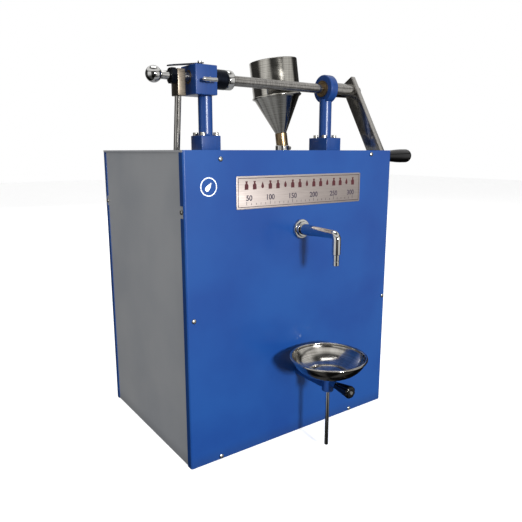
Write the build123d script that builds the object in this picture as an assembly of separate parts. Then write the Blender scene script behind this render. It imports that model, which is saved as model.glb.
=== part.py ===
from build123d import *
import os
from math import atan2, cos, degrees, radians, sqrt, tan

os.makedirs("parts", exist_ok=True)

# Piston liquid filler. Millimetres, +Z up, the front faces -Y.
# The origin is the centre of the cabinet's underside.

# Cabinet
cabinet_width = 400.0
cabinet_depth = 297.0
cabinet_height = 460.0
skin = 1.5  # outer sheet
skin_lift = 0.5  # the panels stop this far above the floor
bend_radius = 3.0
front_flange = 11.5
back_flange = 10.0
top_sheet = 3.0
base_sheet = 2.0
base_rim = 18.0
angle_leg = 20.0
angle_wall = 3.0
slip = 0.2  # clearance between sheets that slide together
fit = 0.05  # radial running clearance

# Panel screws, M4 pan head
screw_radius = 1.9
screw_head_radius = 3.4
screw_head_height = 2.4
screw_length = 8.0
thread_gap = 0.1
front_screw_insets = [(57.0, 12.0), (49.0, 6.5)]  # from left or right edge, from the top
front_screw_sides = [(10.0, 226.0), (6.5, 203.0)]  # from left or right edge, height
front_screw_feet = [(51.0, 5.0), (81.0, 4.5)]  # from left or right edge, height
side_screw_front = (10.0, 82.0)  # from the front, from the top
side_screw_back = (7.0, 86.0)  # from the back, from the top
flange_notch = 17.0

# Name plate
plate_width = 244.0
plate_height = 47.0
plate_sheet = 1.0
plate_shift = 4.0
plate_drop = 36.0  # its top edge below the cabinet's top

# Lever shaft
shaft_radius = 8.0
shaft_height = 107.0  # above the cabinet
shaft_from_back = 187.0
column_radius = 11.0
foot_edge = 5.5  # beyond the bolt centres
foot_height = 22.0
bolt_radius = 2.5
bolt_head_radius = 4.25
bolt_head_height = 5.0
bolt_length = 34.0
bolt_gap = 1.0  # bolt head to column

# Left bearing, places along X from the drive arm
bearing_from_arm = 16.0
bearing_length = 37.0
column_from_bearing = 28.0
bearing_depth = 46.0
bearing_below = 26.0
bearing_above = 17.0
bush_wall = 2.0
sleeve_radius = 15.0
sleeve_length = 26.0
collar_radius = 15.0
collar_length = 13.0
lock_screw_radius = 4.0
lock_screw_reach = 15.0  # in front of the bearing block
lock_screw_below = 5.5  # under the shaft's axis
lock_bar_radius = 3.0
lock_bar_length = 26.0
strip_length = 58.0
strip_width = 12.0
strip_sheet = 1.6
strip_lean = 8.0  # degrees
strip_screw_from_bearing = 20.0
strip_tail = 4.0  # past the screw
strip_gap = 0.4
strip_screw_radius = 1.5

# Drive arm
arm_lean = 7.0  # degrees behind the vertical at rest
arm_swing = 13.0  # degrees each way of the vertical
arm_reach = 170.0  # shaft axis to pump axis
arm_radius = 5.0
hub_thick = 13.0
hub_wall = 1.0
hub_below = 27.5
fork_thick = 8.0
fork_wide = 24.0
fork_top = 152.0
fork_end = 186.0
fork_play = 0.6
slot_width = 14.0
lock_nut_radius = 12.5
lock_nut_length = 8.0
handle_rod_radius = 6.25
handle_rod_length = 15.0
ball_radius = 12.0

# Hand lever, places along X from the cabinet's right side
right_column_at = 54.0  # inwards
ring_radius = 24.0
ring_thick = 16.0
right_bush_wall = 3.0
right_bush_flange = 3.0  # beyond its barrel
right_bush_lip = 3.0
lever_hub_wall = 4.5
lever_gap = 6.0  # lever to the cabinet's side
lever_thick = 10.0
lever_wide = 30.0
lever_reach = 136.0
lever_lean = 30.7  # degrees in front of the vertical
lever_tail = 22.0
lever_tip = 17.0
spindle_radius = 5.0
grip_radius = 12.0
grip_length = 78.0
grip_gap = 0.3

# Hopper
hopper_inset = 107.0  # from the right side
hopper_from_back = 129.5
hopper_radius = 43.0
hopper_wall = 1.5
hopper_lean = 7.0  # degrees, as it stands on its thread
hopper_lean_heading = 144.5  # degrees from +X towards +Y
hopper_top = 158.0  # above the cabinet
hopper_shoulder = 96.0
hopper_foot = 31.0
hopper_outlet = 10.0
bead_radius = 1.8
neck_radius = 11.0
neck_bore = 7.0
neck_tail_radius = 9.0
neck_tail = 20.0  # below the cabinet's top
nut_radius = 13.0
nut_height = 9.0
thumb_radius = 1.5
thumb_head = 3.5

# Spout
spout_drop = 119.0  # below the cabinet's top
spout_reach = 81.0
spout_root_radius = 8.75
spout_radius = 6.35
spout_bore = 4.0
spout_bend = 8.0
spout_step_drop = 29.0  # below the spout's axis
tip_radius = 4.75
tip_length = 16.0
flange_radius = 15.0
flange_length = 9.0

# Drip bowl on its arm
bowl_reach = 71.0
bowl_rim_height = 155.0
bowl_rim_radius = 59.0
bowl_roll = 2.0
bowl_depth = 28.0
bowl_floor = 23.5
bowl_wall = 1.2
bowl_rod_radius = 3.0
bowl_rod_foot = 8.0
bowl_nut_radius = 7.5
bowl_nut_gap = 0.5  # over the boss
bowl_arm_height = 107.5
bowl_arm_radius = 7.0
boss_radius = 9.0
boss_below = 8.5  # under the arm's axis
boss_above = 12.5
nose_radius = 5.5
nose_length = 9.0
knob_root_radius = 5.5
knob_radius = 9.5
knob_length = 31.0
knob_gap = 1.0
knob_above = 6.0  # over the arm's axis
knob_flutes = 8
knob_flute_radius = 1.8
clamp_screw_radius = 2.5

# Pump, lying along Y behind the drive arm
bore_radius = 35.0
barrel_wall = 4.0
piston_thick = 12.0
piston_play = 0.4
seal_wide = 3.0
seal_deep = 3.0
end_gap = 2.5
cap_lip = 7.0  # beyond the barrel
cap_clear = 5.0  # to the side panel
front_cap = 10.0
end_cap = 12.0
end_cap_from_back = 5.0
piston_rod_radius = 7.0
gland_radius = 11.0
tie_rod_radius = 3.0
yoke_gap = 5.0  # half the space between the ears
yoke_ear = 6.0
yoke_half = 11.0
yoke_web_from = 16.0
yoke_web = 7.0
pin_radius = 4.9
bracket_thick = 8.0
valve_from_cap = 28.0
valve_wide = 46.0
valve_deep = 24.0
valve_below = 42.0  # heights from the pump's axis
valve_above = 31.0
valve_bore = 9.5
inlet_seat_below = 29.0
inlet_hole = 6.0
outlet_seat_above = 9.0
outlet_hole = 5.5
outlet_web = 4.0
outlet_port_above = 20.0
valve_ball = 7.5
port_radius = 3.5
nipple_radius = 5.5
pipe_radius = 8.0
pipe_bore = 7.0
pipe_bend = 20.0
suction_below = 69.0
discharge_lane = 60.0

# Places worked out from the sizes above
left = -cabinet_width / 2
right = cabinet_width / 2
front = -cabinet_depth / 2
back = cabinet_depth / 2
top = cabinet_height
top_under = top - top_sheet
shaft_y = back - shaft_from_back
shaft_z = top + shaft_height
cap_radius = bore_radius + barrel_wall + cap_lip
tie_rod_pitch = bore_radius + barrel_wall + tie_rod_radius
arm_x = left + 2 * skin + cap_clear + cap_radius
pump_z = shaft_z - arm_reach
bearing_x = arm_x + bearing_from_arm
bearing_end_x = bearing_x + bearing_length
left_column_x = bearing_x + column_from_bearing
right_column_x = right - right_column_at
strip_screw_x = bearing_x + strip_screw_from_bearing
bush_radius = shaft_radius + bush_wall
right_bush_radius = shaft_radius + right_bush_wall
lever_hub_radius = shaft_radius + lever_hub_wall
hub_half = shaft_radius + hub_wall
foot_bolt_pitch = sqrt(2) * (column_radius + bolt_head_radius + bolt_gap)
foot_side = foot_bolt_pitch + 2 * foot_edge
spout_height = top - spout_drop
spout_step = spout_height - spout_step_drop
valve_low = pump_z - valve_below
valve_high = pump_z + valve_above
inlet_seat = pump_z - inlet_seat_below
outlet_seat = pump_z + outlet_seat_above
outlet_port = pump_z + outlet_port_above
pin_y = shaft_y + arm_reach * tan(radians(arm_lean))
pin_travel = arm_reach * tan(radians(arm_swing))
hopper_x = right - hopper_inset
hopper_y = back - hopper_from_back
spout_y = front - spout_reach
bowl_y = front - bowl_reach
inner_side = skin * 2  # flange plus side panel
chamber_back = back - end_cap_from_back - end_cap
chamber_front = chamber_back - 2 * pin_travel - piston_thick - 2 * end_gap
piston_back = pin_y + (chamber_back - end_gap) - (shaft_y + pin_travel)


def block(x0, x1, y0, y1, z0, z1):
    middle = Pos((x0 + x1) / 2, (y0 + y1) / 2, (z0 + z1) / 2)
    return middle * Box(x1 - x0, y1 - y0, z1 - z0)


def bar_x(radius, x0, x1, y, z):
    return Pos((x0 + x1) / 2, y, z) * Rot(0, 90, 0) * Cylinder(radius, x1 - x0)


def bar_y(radius, y0, y1, x, z):
    return Pos(x, (y0 + y1) / 2, z) * Rot(90, 0, 0) * Cylinder(radius, y1 - y0)


def bar_z(radius, z0, z1, x, y):
    return Pos(x, y, (z0 + z1) / 2) * Cylinder(radius, z1 - z0)


def hex_x(radius, x0, x1, y, z):
    prism = extrude(RegularPolygon(radius, 6, rotation=30), x1 - x0)
    return Pos(x0, y, z) * Rot(0, 90, 0) * prism


def turned(points, x, y):
    """A solid of revolution about a vertical line, from (radius, height) points."""
    outline = Polyline(*[(radius, 0, height) for radius, height in points], close=True)
    return Pos(x, y, 0) * revolve(make_face(outline), Axis.Z)


def save(name, shape):
    solids = shape if isinstance(shape, list) else [shape]
    solids = [solid for entry in solids for solid in entry.solids()]
    shape = solids[0] if len(solids) == 1 else Compound(solids)
    export_step(shape, "parts/" + name + ".step")


def pan_screw(spot, outward):
    head = Pos(0, 0, screw_head_height / 2) * Cylinder(screw_head_radius, screw_head_height)
    crown = head.edges().filter_by(GeomType.CIRCLE).sort_by(Axis.Z)[-1]
    head = fillet(crown, screw_head_height * 0.7)
    shank = Pos(0, 0, -screw_length / 2) * Cylinder(screw_radius, screw_length)
    return Plane(origin=spot, z_dir=outward) * (head + shank)


def screw_hole(spot, outward):
    hole = Cylinder(screw_radius + thread_gap, 2 * screw_length + 4)
    return Plane(origin=spot, z_dir=outward) * hole


def face_screws(y, outward):
    """Screw places on the front or the back panel, as (spot, outward) pairs."""
    spots = []
    for side, (inset, drop) in zip((1, -1), front_screw_insets):
        spots.append((side * (left + inset), top - drop))
    for side, (inset, height) in zip((1, -1), front_screw_sides):
        spots.append((side * (left + inset), height))
    for side, (inset, height) in zip((1, -1), front_screw_feet):
        spots.append((side * (left + inset), height))
    return [((x, y, z), outward) for x, z in spots]


def side_screws(side):
    x = side * (right - skin)
    ahead, drop_front = side_screw_front
    behind, drop_back = side_screw_back
    spots = [(x, front + ahead, top - drop_front), (x, back - behind, top - drop_back)]
    return [(spot, (side, 0, 0)) for spot in spots]


screw_places = face_screws(front, (0, -1, 0)) + face_screws(back, (0, 1, 0))
screw_places += side_screws(-1) + side_screws(1)
screw_holes = [screw_hole(spot, outward) for spot, outward in screw_places]


def cut_screw_holes(shape):
    for hole in screw_holes:
        shape = shape - hole
    return shape


# ---------------------------------------------------------------- cabinet


def folded_panel(y_out, inward, flange):
    """A front or back sheet with a flange folded back along each side."""
    y_end = y_out + inward * flange
    y_low, y_high = min(y_out, y_end), max(y_out, y_end)
    outer = block(left, right, y_low, y_high, skin_lift, top)
    corners = outer.edges().filter_by(Axis.Z).sort_by(Axis.Y)
    corners = corners[:2] if inward > 0 else corners[-2:]
    outer = fillet(corners, bend_radius)
    y_in = y_out + inward * skin
    y_far = y_end + inward
    hollow = block(left + skin, right - skin, min(y_in, y_far), max(y_in, y_far), 0, top + 1)
    corners = hollow.edges().filter_by(Axis.Z).sort_by(Axis.Y)
    corners = corners[:2] if inward > 0 else corners[-2:]
    hollow = fillet(corners, bend_radius - skin)
    panel = outer - hollow
    lid_room = block(left - 1, right + 1, min(y_in, y_far), max(y_in, y_far), top_under, top + 1)
    return panel - lid_room


def flange_notches(y_out, inward, drop):
    y_a = y_out + inward * (bend_radius + 0.5)
    y_b = y_out + inward * (front_flange + 1)
    z = top - drop
    low, high = z - flange_notch / 2, z + flange_notch / 2
    notches = []
    for x0, x1 in ((left - 1, left + skin), (right - skin, right + 1)):
        notches.append(block(x0, x1, min(y_a, y_b), max(y_a, y_b), low, high))
    return notches


def make_front_panel():
    panel = folded_panel(front, 1, front_flange)
    for notch in flange_notches(front, 1, side_screw_front[1]):
        panel = panel - notch
    panel = panel - bar_y(spout_root_radius + fit, front - 1, front + 5, 0, spout_height)
    panel = panel - bar_y(bowl_arm_radius - 2 + fit, front - 1, front + 5, 0, bowl_arm_height)
    save("front_panel", cut_screw_holes(panel))


def make_back_panel():
    panel = folded_panel(back, -1, back_flange)
    for notch in flange_notches(back, -1, side_screw_back[1]):
        panel = panel - notch
    save("back_panel", cut_screw_holes(panel))


def make_side_panel(name, side):
    x0 = side * (right - skin)
    x1 = side * (right - 2 * skin)
    y0 = front + bend_radius + slip
    y1 = back - bend_radius - slip
    panel = block(min(x0, x1), max(x0, x1), y0, y1, skin_lift, top_under)
    save(name, cut_screw_holes(panel))


def make_base_plate():
    gap = inner_side + slip
    wall = skin + slip
    tray = block(left + gap, right - gap, front + wall, back - wall, 0, base_rim)
    gap = gap + base_sheet
    wall = wall + base_sheet
    hollow = block(left + gap, right - gap, front + wall, back - wall, base_sheet, base_rim + 1)
    save("base_plate", cut_screw_holes(tray - hollow))


def make_top_plate():
    y0, y1 = front + skin, back - skin
    plate = block(left, right, y0, y1, top_under, top)
    half = shaft_height * tan(radians(arm_swing)) + arm_radius + 5
    x0, x1 = arm_x - slot_width / 2, arm_x + slot_width / 2
    slot = block(x0, x1, shaft_y - half, shaft_y + half, top_under - 1, top + 1)
    plate = plate - slot
    plate = plate - bar_z(neck_tail_radius + fit, top_under - 1, top + 1, hopper_x, hopper_y)
    for x, y in bolt_spots():
        plate = plate - bar_z(bolt_radius + thread_gap, top_under - 1, top + 1, x, y)
    save("top_plate", cut_screw_holes(plate))


def make_frame_angles():
    """Four corner uprights and two top rails, all from one angle section."""
    pieces = []
    for sx in (-1, 1):
        for sy in (-1, 1):
            xo, yo = sx * (right - inner_side), sy * (back - skin)
            xi, yi = xo - sx * angle_leg, yo - sy * angle_leg
            upright = block(min(xo, xi), max(xo, xi), min(yo, yi), max(yo, yi), base_rim, top_under)
            xw, yw = xo - sx * angle_wall, yo - sy * angle_wall
            xf, yf = xi - sx, yi - sy
            hollow = block(min(xw, xf), max(xw, xf), min(yw, yf), max(yw, yf), base_rim - 1, top)
            pieces.append(cut_screw_holes(upright - hollow))
    for sy in (-1, 1):
        yo = sy * (back - skin)
        yi = yo - sy * angle_leg
        x_end = right - inner_side - angle_leg
        rail = block(-x_end, x_end, min(yo, yi), max(yo, yi), top_under - angle_leg, top_under)
        yw, yf = yo - sy * angle_wall, yi - sy
        low, high = top_under - angle_leg - 1, top_under - angle_wall
        hollow = block(-x_end - 1, x_end + 1, min(yw, yf), max(yw, yf), low, high)
        pieces.append(cut_screw_holes(rail - hollow))
    save("frame_angles", pieces)


def make_panel_screws():
    save("panel_screws", [pan_screw(spot, outward) for spot, outward in screw_places])


def make_name_plate():
    z1 = top - plate_drop
    x0 = plate_shift - plate_width / 2
    plate = block(x0, x0 + plate_width, front - plate_sheet, front, z1 - plate_height, z1)
    corners = plate.edges().filter_by(Axis.Y)
    save("name_plate", fillet(corners, 2.0))


# ---------------------------------------------------------------- shaft and posts


def bolt_spots():
    spots = []
    half = foot_bolt_pitch / 2
    for x in (left_column_x, right_column_x):
        for dx in (-half, half):
            for dy in (-half, half):
                spots.append((x + dx, shaft_y + dy))
    return spots


def post(x, column_top):
    half = foot_side / 2
    foot = block(x - half, x + half, shaft_y - half, shaft_y + half, top, top + foot_height)
    foot = fillet(foot.edges().filter_by(Axis.Z), 2.0)
    for bolt_x, bolt_y in bolt_spots():
        foot = foot - bar_z(bolt_radius + thread_gap, top - 1, top + foot_height + 1, bolt_x, bolt_y)
    return foot + bar_z(column_radius, top + foot_height, column_top, x, shaft_y)


def make_left_post():
    save("left_post", post(left_column_x, shaft_z - bearing_below))


def make_left_bearing_block():
    x0, x1 = bearing_x, bearing_end_x
    half = bearing_depth / 2
    low, high = shaft_z - bearing_below, shaft_z + bearing_above
    body = block(x0, x1, shaft_y - half, shaft_y + half, low, high)
    body = fillet(body.edges().filter_by(Axis.X), 3.0)
    body = body - bar_x(bush_radius, x0 - 1, x1 + 1, shaft_y, shaft_z)
    screw_x = (x0 + x1) / 2
    hole_radius = lock_screw_radius + fit
    screw_z = shaft_z - lock_screw_below
    body = body - bar_y(hole_radius, shaft_y - half - 1, shaft_y - bush_radius + 2, screw_x, screw_z)
    spot = strip_screw_x
    hole_top = shaft_z + bearing_above + 1
    body = body - bar_z(strip_screw_radius + fit, shaft_z + bush_radius + 1, hole_top, spot, shaft_y)
    save("left_bearing_block", body)


def make_left_bush():
    x0, x1 = bearing_x, bearing_end_x
    bush = bar_x(bush_radius, x0, x1, shaft_y, shaft_z)
    save("left_bush", bush - bar_x(shaft_radius + fit, x0 - 1, x1 + 1, shaft_y, shaft_z))


def make_bearing_sleeve():
    x0 = bearing_end_x
    x1 = x0 + sleeve_length
    sleeve = bar_x(sleeve_radius, x0, x1, shaft_y, shaft_z)
    sleeve = chamfer(sleeve.edges().filter_by(GeomType.CIRCLE), 1.0)
    save("bearing_sleeve", sleeve - bar_x(shaft_radius + 0.3, x0 - 1, x1 + 1, shaft_y, shaft_z))


def make_shaft_collar():
    x0 = bearing_end_x + sleeve_length + slip
    x1 = x0 + collar_length - slip
    collar = bar_x(collar_radius, x0, x1, shaft_y, shaft_z)
    collar = fillet(collar.edges().filter_by(GeomType.CIRCLE), 3.0)
    save("shaft_collar", collar - bar_x(shaft_radius, x0 - 1, x1 + 1, shaft_y, shaft_z))


def make_right_post():
    x = right_column_x
    body = post(x, shaft_z)
    x0, x1 = x - ring_thick / 2, x + ring_thick / 2
    ring = bar_x(ring_radius, x0, x1, shaft_y, shaft_z)
    ring = fillet(ring.edges().filter_by(GeomType.CIRCLE), 1.5)
    side = column_radius + 1
    room = bar_x(ring_radius - 4, x - side, x0, shaft_y, shaft_z)
    room = room + bar_x(ring_radius - 4, x1, x + side, shaft_y, shaft_z)
    body = (body - room) + ring
    save("right_post", body - bar_x(right_bush_radius, x0 - 1, x1 + 1, shaft_y, shaft_z))


def make_right_bush():
    x = right_column_x
    x0, x1 = x - ring_thick / 2, x + ring_thick / 2
    bush = bar_x(right_bush_radius, x0, x1, shaft_y, shaft_z)
    bush = bush + bar_x(right_bush_radius + right_bush_flange, x0 - right_bush_lip, x0, shaft_y, shaft_z)
    save("right_bush", bush - bar_x(shaft_radius + fit, x0 - 5, x1 + 1, shaft_y, shaft_z))


def make_post_bolts():
    bolts = []
    seat = top + foot_height
    for x, y in bolt_spots():
        head = bar_z(bolt_head_radius, seat, seat + bolt_head_height, x, y)
        crown = head.edges().filter_by(GeomType.CIRCLE).sort_by(Axis.Z)[-1]
        head = chamfer(crown, 0.5)
        socket = extrude(RegularPolygon(2.3, 6), 3)
        head = head - Pos(x, y, seat + bolt_head_height - 2.5) * socket
        bolts.append(head + bar_z(bolt_radius, seat - bolt_length, seat, x, y))
    save("post_bolts", bolts)


def make_main_shaft():
    x0 = arm_x - hub_thick / 2 - lock_nut_length + 1
    x1 = right + lever_gap + lever_thick
    save("main_shaft", bar_x(shaft_radius, x0, x1, shaft_y, shaft_z))


def make_lock_screw():
    x = (bearing_x + bearing_end_x) / 2
    z = shaft_z - lock_screw_below
    face = shaft_y - bearing_depth / 2
    screw = bar_y(lock_screw_radius, face - lock_screw_reach, shaft_y - bush_radius - 1, x, z)
    bar_at = face - lock_screw_reach + lock_screw_radius + 1
    bar = bar_x(lock_bar_radius, x - lock_bar_length / 2, x + lock_bar_length / 2, bar_at, z)
    bar = fillet(bar.edges().filter_by(GeomType.CIRCLE), lock_bar_radius * 0.6)
    save("lock_screw", screw + bar)


def strip_under(x):
    """Height of the pointer strip's underside, clear of the bearing block's left edge."""
    rise = (x - bearing_x) * tan(radians(strip_lean))
    return shaft_z + bearing_above + strip_gap + rise


def make_pointer_strip():
    strip = Pos(-strip_length / 2, 0, strip_sheet / 2) * Box(strip_length, strip_width, strip_sheet)
    tip = strip.edges().filter_by(Axis.Z).sort_by(Axis.X)[:2]
    strip = fillet(tip, strip_width * 0.45)
    start = strip_screw_x + strip_tail
    strip = Pos(start, shaft_y, strip_under(start)) * Rot(0, -strip_lean, 0) * strip
    hole = bar_z(strip_screw_radius + fit, shaft_z, shaft_z + 50, strip_screw_x, shaft_y)
    save("pointer_strip", strip - hole)


def make_pointer_screw():
    x = strip_screw_x
    spacer_radius = 2 * strip_screw_radius
    spacer_top = strip_under(x - spacer_radius) - fit
    spacer = bar_z(spacer_radius, shaft_z + bearing_above, spacer_top, x, shaft_y)
    head_seat = strip_under(x + spacer_radius) + strip_sheet * 1.1
    head = bar_z(spacer_radius, head_seat, head_seat + 2.2, x, shaft_y)
    shank = bar_z(strip_screw_radius, shaft_z + bush_radius + 1.5, head_seat, x, shaft_y)
    save("pointer_screw", spacer + head + shank)


# ---------------------------------------------------------------- drive arm


def leaned(shape):
    return Pos(arm_x, shaft_y, shaft_z) * Rot(arm_lean, 0, 0) * shape


def make_arm_hub():
    half = hub_thick / 2
    hub = block(-half, half, -hub_half, hub_half, -hub_below, hub_half)
    hub = fillet(hub.edges().filter_by(Axis.X), 2.0)
    hub = hub - bar_x(shaft_radius, -half - 1, half + 1, 0, 0)
    hub = hub - bar_z(arm_radius, -hub_below - 1, -shaft_radius - 4, 0, 0)
    save("arm_hub", leaned(hub))


def make_drop_arm():
    rod = bar_z(arm_radius, -fork_top - 1, -shaft_radius - 4, 0, 0)
    half = fork_thick / 2
    fork = block(-half, half, -fork_wide / 2, fork_wide / 2, -fork_end, -fork_top)
    slot_half = pin_radius + fork_play
    slot_end = arm_reach - 4
    fork = fork - block(-half - 1, half + 1, -slot_half, slot_half, -fork_end - 1, -slot_end)
    fork = fork - bar_x(slot_half, -half - 1, half + 1, 0, -slot_end)
    save("drop_arm", leaned(rod + fork))


def make_ball_handle():
    nut_end = arm_x - hub_thick / 2
    nut_start = nut_end - lock_nut_length
    nut = hex_x(lock_nut_radius, nut_start, nut_end, shaft_y, shaft_z)
    room = bar_x(shaft_radius + fit, nut_start + 0.8, nut_end + 1, shaft_y, shaft_z)
    save("hub_lock_nut", nut - room)
    rod_start = nut_start - handle_rod_length
    save("handle_rod", bar_x(handle_rod_radius, rod_start, nut_start, shaft_y, shaft_z))
    reach = sqrt(ball_radius ** 2 - handle_rod_radius ** 2)
    ball = Pos(rod_start - reach, shaft_y, shaft_z) * Sphere(ball_radius)
    far = rod_start + ball_radius
    ball = ball - block(rod_start, far, shaft_y - 20, shaft_y + 20, shaft_z - 20, shaft_z + 20)
    save("ball_knob", ball)


# ---------------------------------------------------------------- hand lever


def lever_place():
    return Pos(right + lever_gap, shaft_y, shaft_z) * Rot(-lever_lean, 0, 0)


def make_lever_hub():
    x0 = right_column_x + ring_thick / 2 + 2
    x1 = right + lever_gap
    hub = bar_x(lever_hub_radius, x0, x1, shaft_y, shaft_z)
    hub = chamfer(hub.edges().filter_by(GeomType.CIRCLE).sort_by(Axis.X)[0], 1.5)
    save("lever_hub", hub - bar_x(shaft_radius, x0 - 1, x1 + 1, shaft_y, shaft_z))


def make_hand_lever():
    low = -lever_reach - lever_tip
    lever = block(0, lever_thick, -lever_wide / 2, lever_wide / 2, low, lever_tail)
    lever = fillet(lever.edges().filter_by(Axis.X).sort_by(Axis.Z)[:2], lever_wide * 0.45)
    lever = chamfer(lever.edges().filter_by(Axis.Z), 0.8)
    lever = lever - bar_x(shaft_radius, -1, lever_thick + 1, 0, 0)
    lever = lever - bar_x(spindle_radius, -1, lever_thick + 1, 0, -lever_reach)
    save("hand_lever", lever_place() * lever)


def make_lever_nut():
    start = lever_thick
    nut = hex_x(11.0, start, start + 7, 0, 0)
    dome = bar_x(8.5, start + 7, start + 12, 0, 0)
    dome = fillet(dome.edges().filter_by(GeomType.CIRCLE).sort_by(Axis.X)[-1], 4.0)
    save("lever_nut", lever_place() * (nut + dome))


def make_grip():
    grip_start = lever_thick + grip_gap
    grip_end = grip_start + grip_length
    grip = bar_x(grip_radius, grip_start, grip_end, 0, -lever_reach)
    grip = fillet(grip.edges().filter_by(GeomType.CIRCLE), 3.0)
    grip = grip - bar_x(spindle_radius + fit, grip_start - 1, grip_end - 6, 0, -lever_reach)
    grip = grip - bar_x(spindle_radius + 2.5, grip_end - 6, grip_end + 1, 0, -lever_reach)
    save("hand_grip", lever_place() * grip)
    spindle = bar_x(spindle_radius, 0, grip_end - 5.7, 0, -lever_reach)
    spindle = spindle + bar_x(spindle_radius + 2.2, grip_end - 5.7, grip_end - 1.5, 0, -lever_reach)
    save("handle_spindle", lever_place() * spindle)


# ---------------------------------------------------------------- hopper


def hopper_leaned(shape):
    """Places a shape that stands on the hopper nut's upper face, leaning as the hopper does."""
    foot = Pos(hopper_x, hopper_y, top + nut_height)
    return foot * Rot(0, 0, hopper_lean_heading) * Rot(0, hopper_lean, 0) * shape


def make_hopper():
    high = hopper_top - nut_height
    shoulder = hopper_shoulder - nut_height
    foot = hopper_foot - nut_height
    inside = hopper_radius - hopper_wall
    outline = [
        (hopper_outlet, foot),
        (hopper_radius, shoulder),
        (hopper_radius, high),
        (inside, high),
        (inside, shoulder + hopper_wall / 2),
        (hopper_outlet - hopper_wall, foot),
    ]
    body = turned(outline, 0, 0)
    bead = Pos(0, 0, shoulder) * Torus(hopper_radius - 0.3, bead_radius)
    body = body + (bead - bar_z(inside, shoulder - 4, shoulder + 4, 0, 0))
    save("hopper", hopper_leaned(body))


def make_hopper_neck():
    nut_top = top + nut_height
    upright = bar_z(neck_tail_radius, top - neck_tail, nut_top, hopper_x, hopper_y)
    upright = upright + bar_z(neck_radius, nut_top, nut_top + 3, hopper_x, hopper_y)
    neck_length = hopper_foot - nut_height
    neck = upright + hopper_leaned(bar_z(neck_radius, 1.5, neck_length, 0, 0))
    neck = neck - bar_z(neck_bore, top - 50, nut_top + 2, hopper_x, hopper_y)
    save("hopper_neck", neck - hopper_leaned(bar_z(neck_bore, -1, neck_length + 1, 0, 0)))


def make_hopper_nut():
    nut = bar_z(nut_radius, top, top + nut_height, hopper_x, hopper_y)
    nut = chamfer(nut.edges().filter_by(GeomType.CIRCLE), 0.8)
    nut = nut - bar_z(neck_tail_radius, top - 1, top + 20, hopper_x, hopper_y)
    z = top + nut_height / 2
    nut = nut - bar_x(thumb_radius + thread_gap, hopper_x, hopper_x + 20, hopper_y, z)
    save("hopper_nut", nut)
    start = hopper_x + neck_tail_radius + 0.3
    seat = hopper_x + nut_radius + 1.5
    screw = bar_x(thumb_radius, start, seat, hopper_y, z)
    screw = screw + bar_x(thumb_head, seat, seat + 4, hopper_y, z)
    save("thumb_screw", screw)


# ---------------------------------------------------------------- spout


def make_spout():
    nut = bar_y(flange_radius, front - flange_length, front, 0, spout_height)
    nut = chamfer(nut.edges().filter_by(GeomType.CIRCLE).sort_by(Axis.Y)[0], 1.2)
    nut = nut - bar_y(spout_root_radius, front - flange_length - 1, front + 1, 0, spout_height)
    save("spout_flange", nut)
    taper_start = front - flange_length - 3
    taper_end = spout_y + spout_bend
    root = bar_y(spout_root_radius, taper_start, front + skin + 4, 0, spout_height)
    taper = Solid.make_cone(
        spout_root_radius,
        spout_radius,
        taper_start - taper_end,
        Plane(origin=(0, taper_start, spout_height), z_dir=(0, -1, 0)),
    )
    drop = bar_z(spout_radius, spout_step, spout_height - spout_bend, 0, spout_y)
    turn_place = Pos(0, taper_end, spout_height - spout_bend)
    ring = turn_place * Rot(0, 90, 0) * Torus(spout_bend, spout_radius)
    reach = spout_bend + spout_radius + 1
    elbow_foot = spout_height - spout_bend
    quarter = block(-reach, reach, taper_end - reach, taper_end, elbow_foot, elbow_foot + reach)
    ring = ring & quarter
    ring_bore = turn_place * Rot(0, 90, 0) * Torus(spout_bend, spout_bore)
    pipe = root + taper + ring + drop
    pipe = pipe - bar_y(spout_bore, taper_end, front + 20, 0, spout_height)
    pipe = pipe - (ring_bore & quarter)
    pipe = pipe - bar_z(spout_bore, spout_step - 1, spout_height - spout_bend, 0, spout_y)
    save("spout_pipe", pipe)
    tip_end = spout_step - tip_length
    tip = bar_z(tip_radius, tip_end, spout_step, 0, spout_y)
    tip = chamfer(tip.edges().filter_by(GeomType.CIRCLE).sort_by(Axis.Z)[0], 0.6)
    save("spout_tip", tip - bar_z(spout_bore - 1, tip_end - 1, spout_step + 1, 0, spout_y))


# ---------------------------------------------------------------- drip bowl


def bowl_profile(shrink, extra):
    low = bowl_rim_height - bowl_depth + shrink
    high = bowl_rim_height - bowl_roll + extra
    rim = bowl_rim_radius - bowl_roll - shrink
    start = (bowl_floor, 0, low)
    end = (rim, 0, bowl_rim_height - bowl_roll)
    middle_radius = bowl_floor + (rim - bowl_floor) * 0.65
    middle_height = low + (bowl_rim_height - bowl_roll - low) * 0.29
    edges = [Line((0, 0, low), start)]
    edges.append(ThreePointArc(start, (middle_radius, 0, middle_height), end))
    if extra:
        edges.append(Line(end, (rim, 0, high)))
    edges.append(Line((rim, 0, high), (0, 0, high)))
    edges.append(Line((0, 0, high), (0, 0, low)))
    return Pos(0, bowl_y, 0) * revolve(make_face(edges), Axis.Z)


def make_bowl():
    shell = bowl_profile(0.0, 0.0) - bowl_profile(bowl_wall, 3.0)
    roll = Pos(0, bowl_y, bowl_rim_height - bowl_roll) * Torus(bowl_rim_radius - bowl_roll, bowl_roll)
    save("drip_bowl", shell + roll)
    low = bowl_rim_height - bowl_depth
    save("bowl_rod", bar_z(bowl_rod_radius, bowl_rod_foot, low, 0, bowl_y))
    nut_low = bowl_arm_height + boss_above + bowl_nut_gap
    nut = Pos(0, bowl_y, nut_low) * extrude(RegularPolygon(bowl_nut_radius, 6), low - nut_low)
    save("bowl_nut", nut - bar_z(bowl_rod_radius, nut_low - 1, low + 1, 0, bowl_y))


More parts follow.
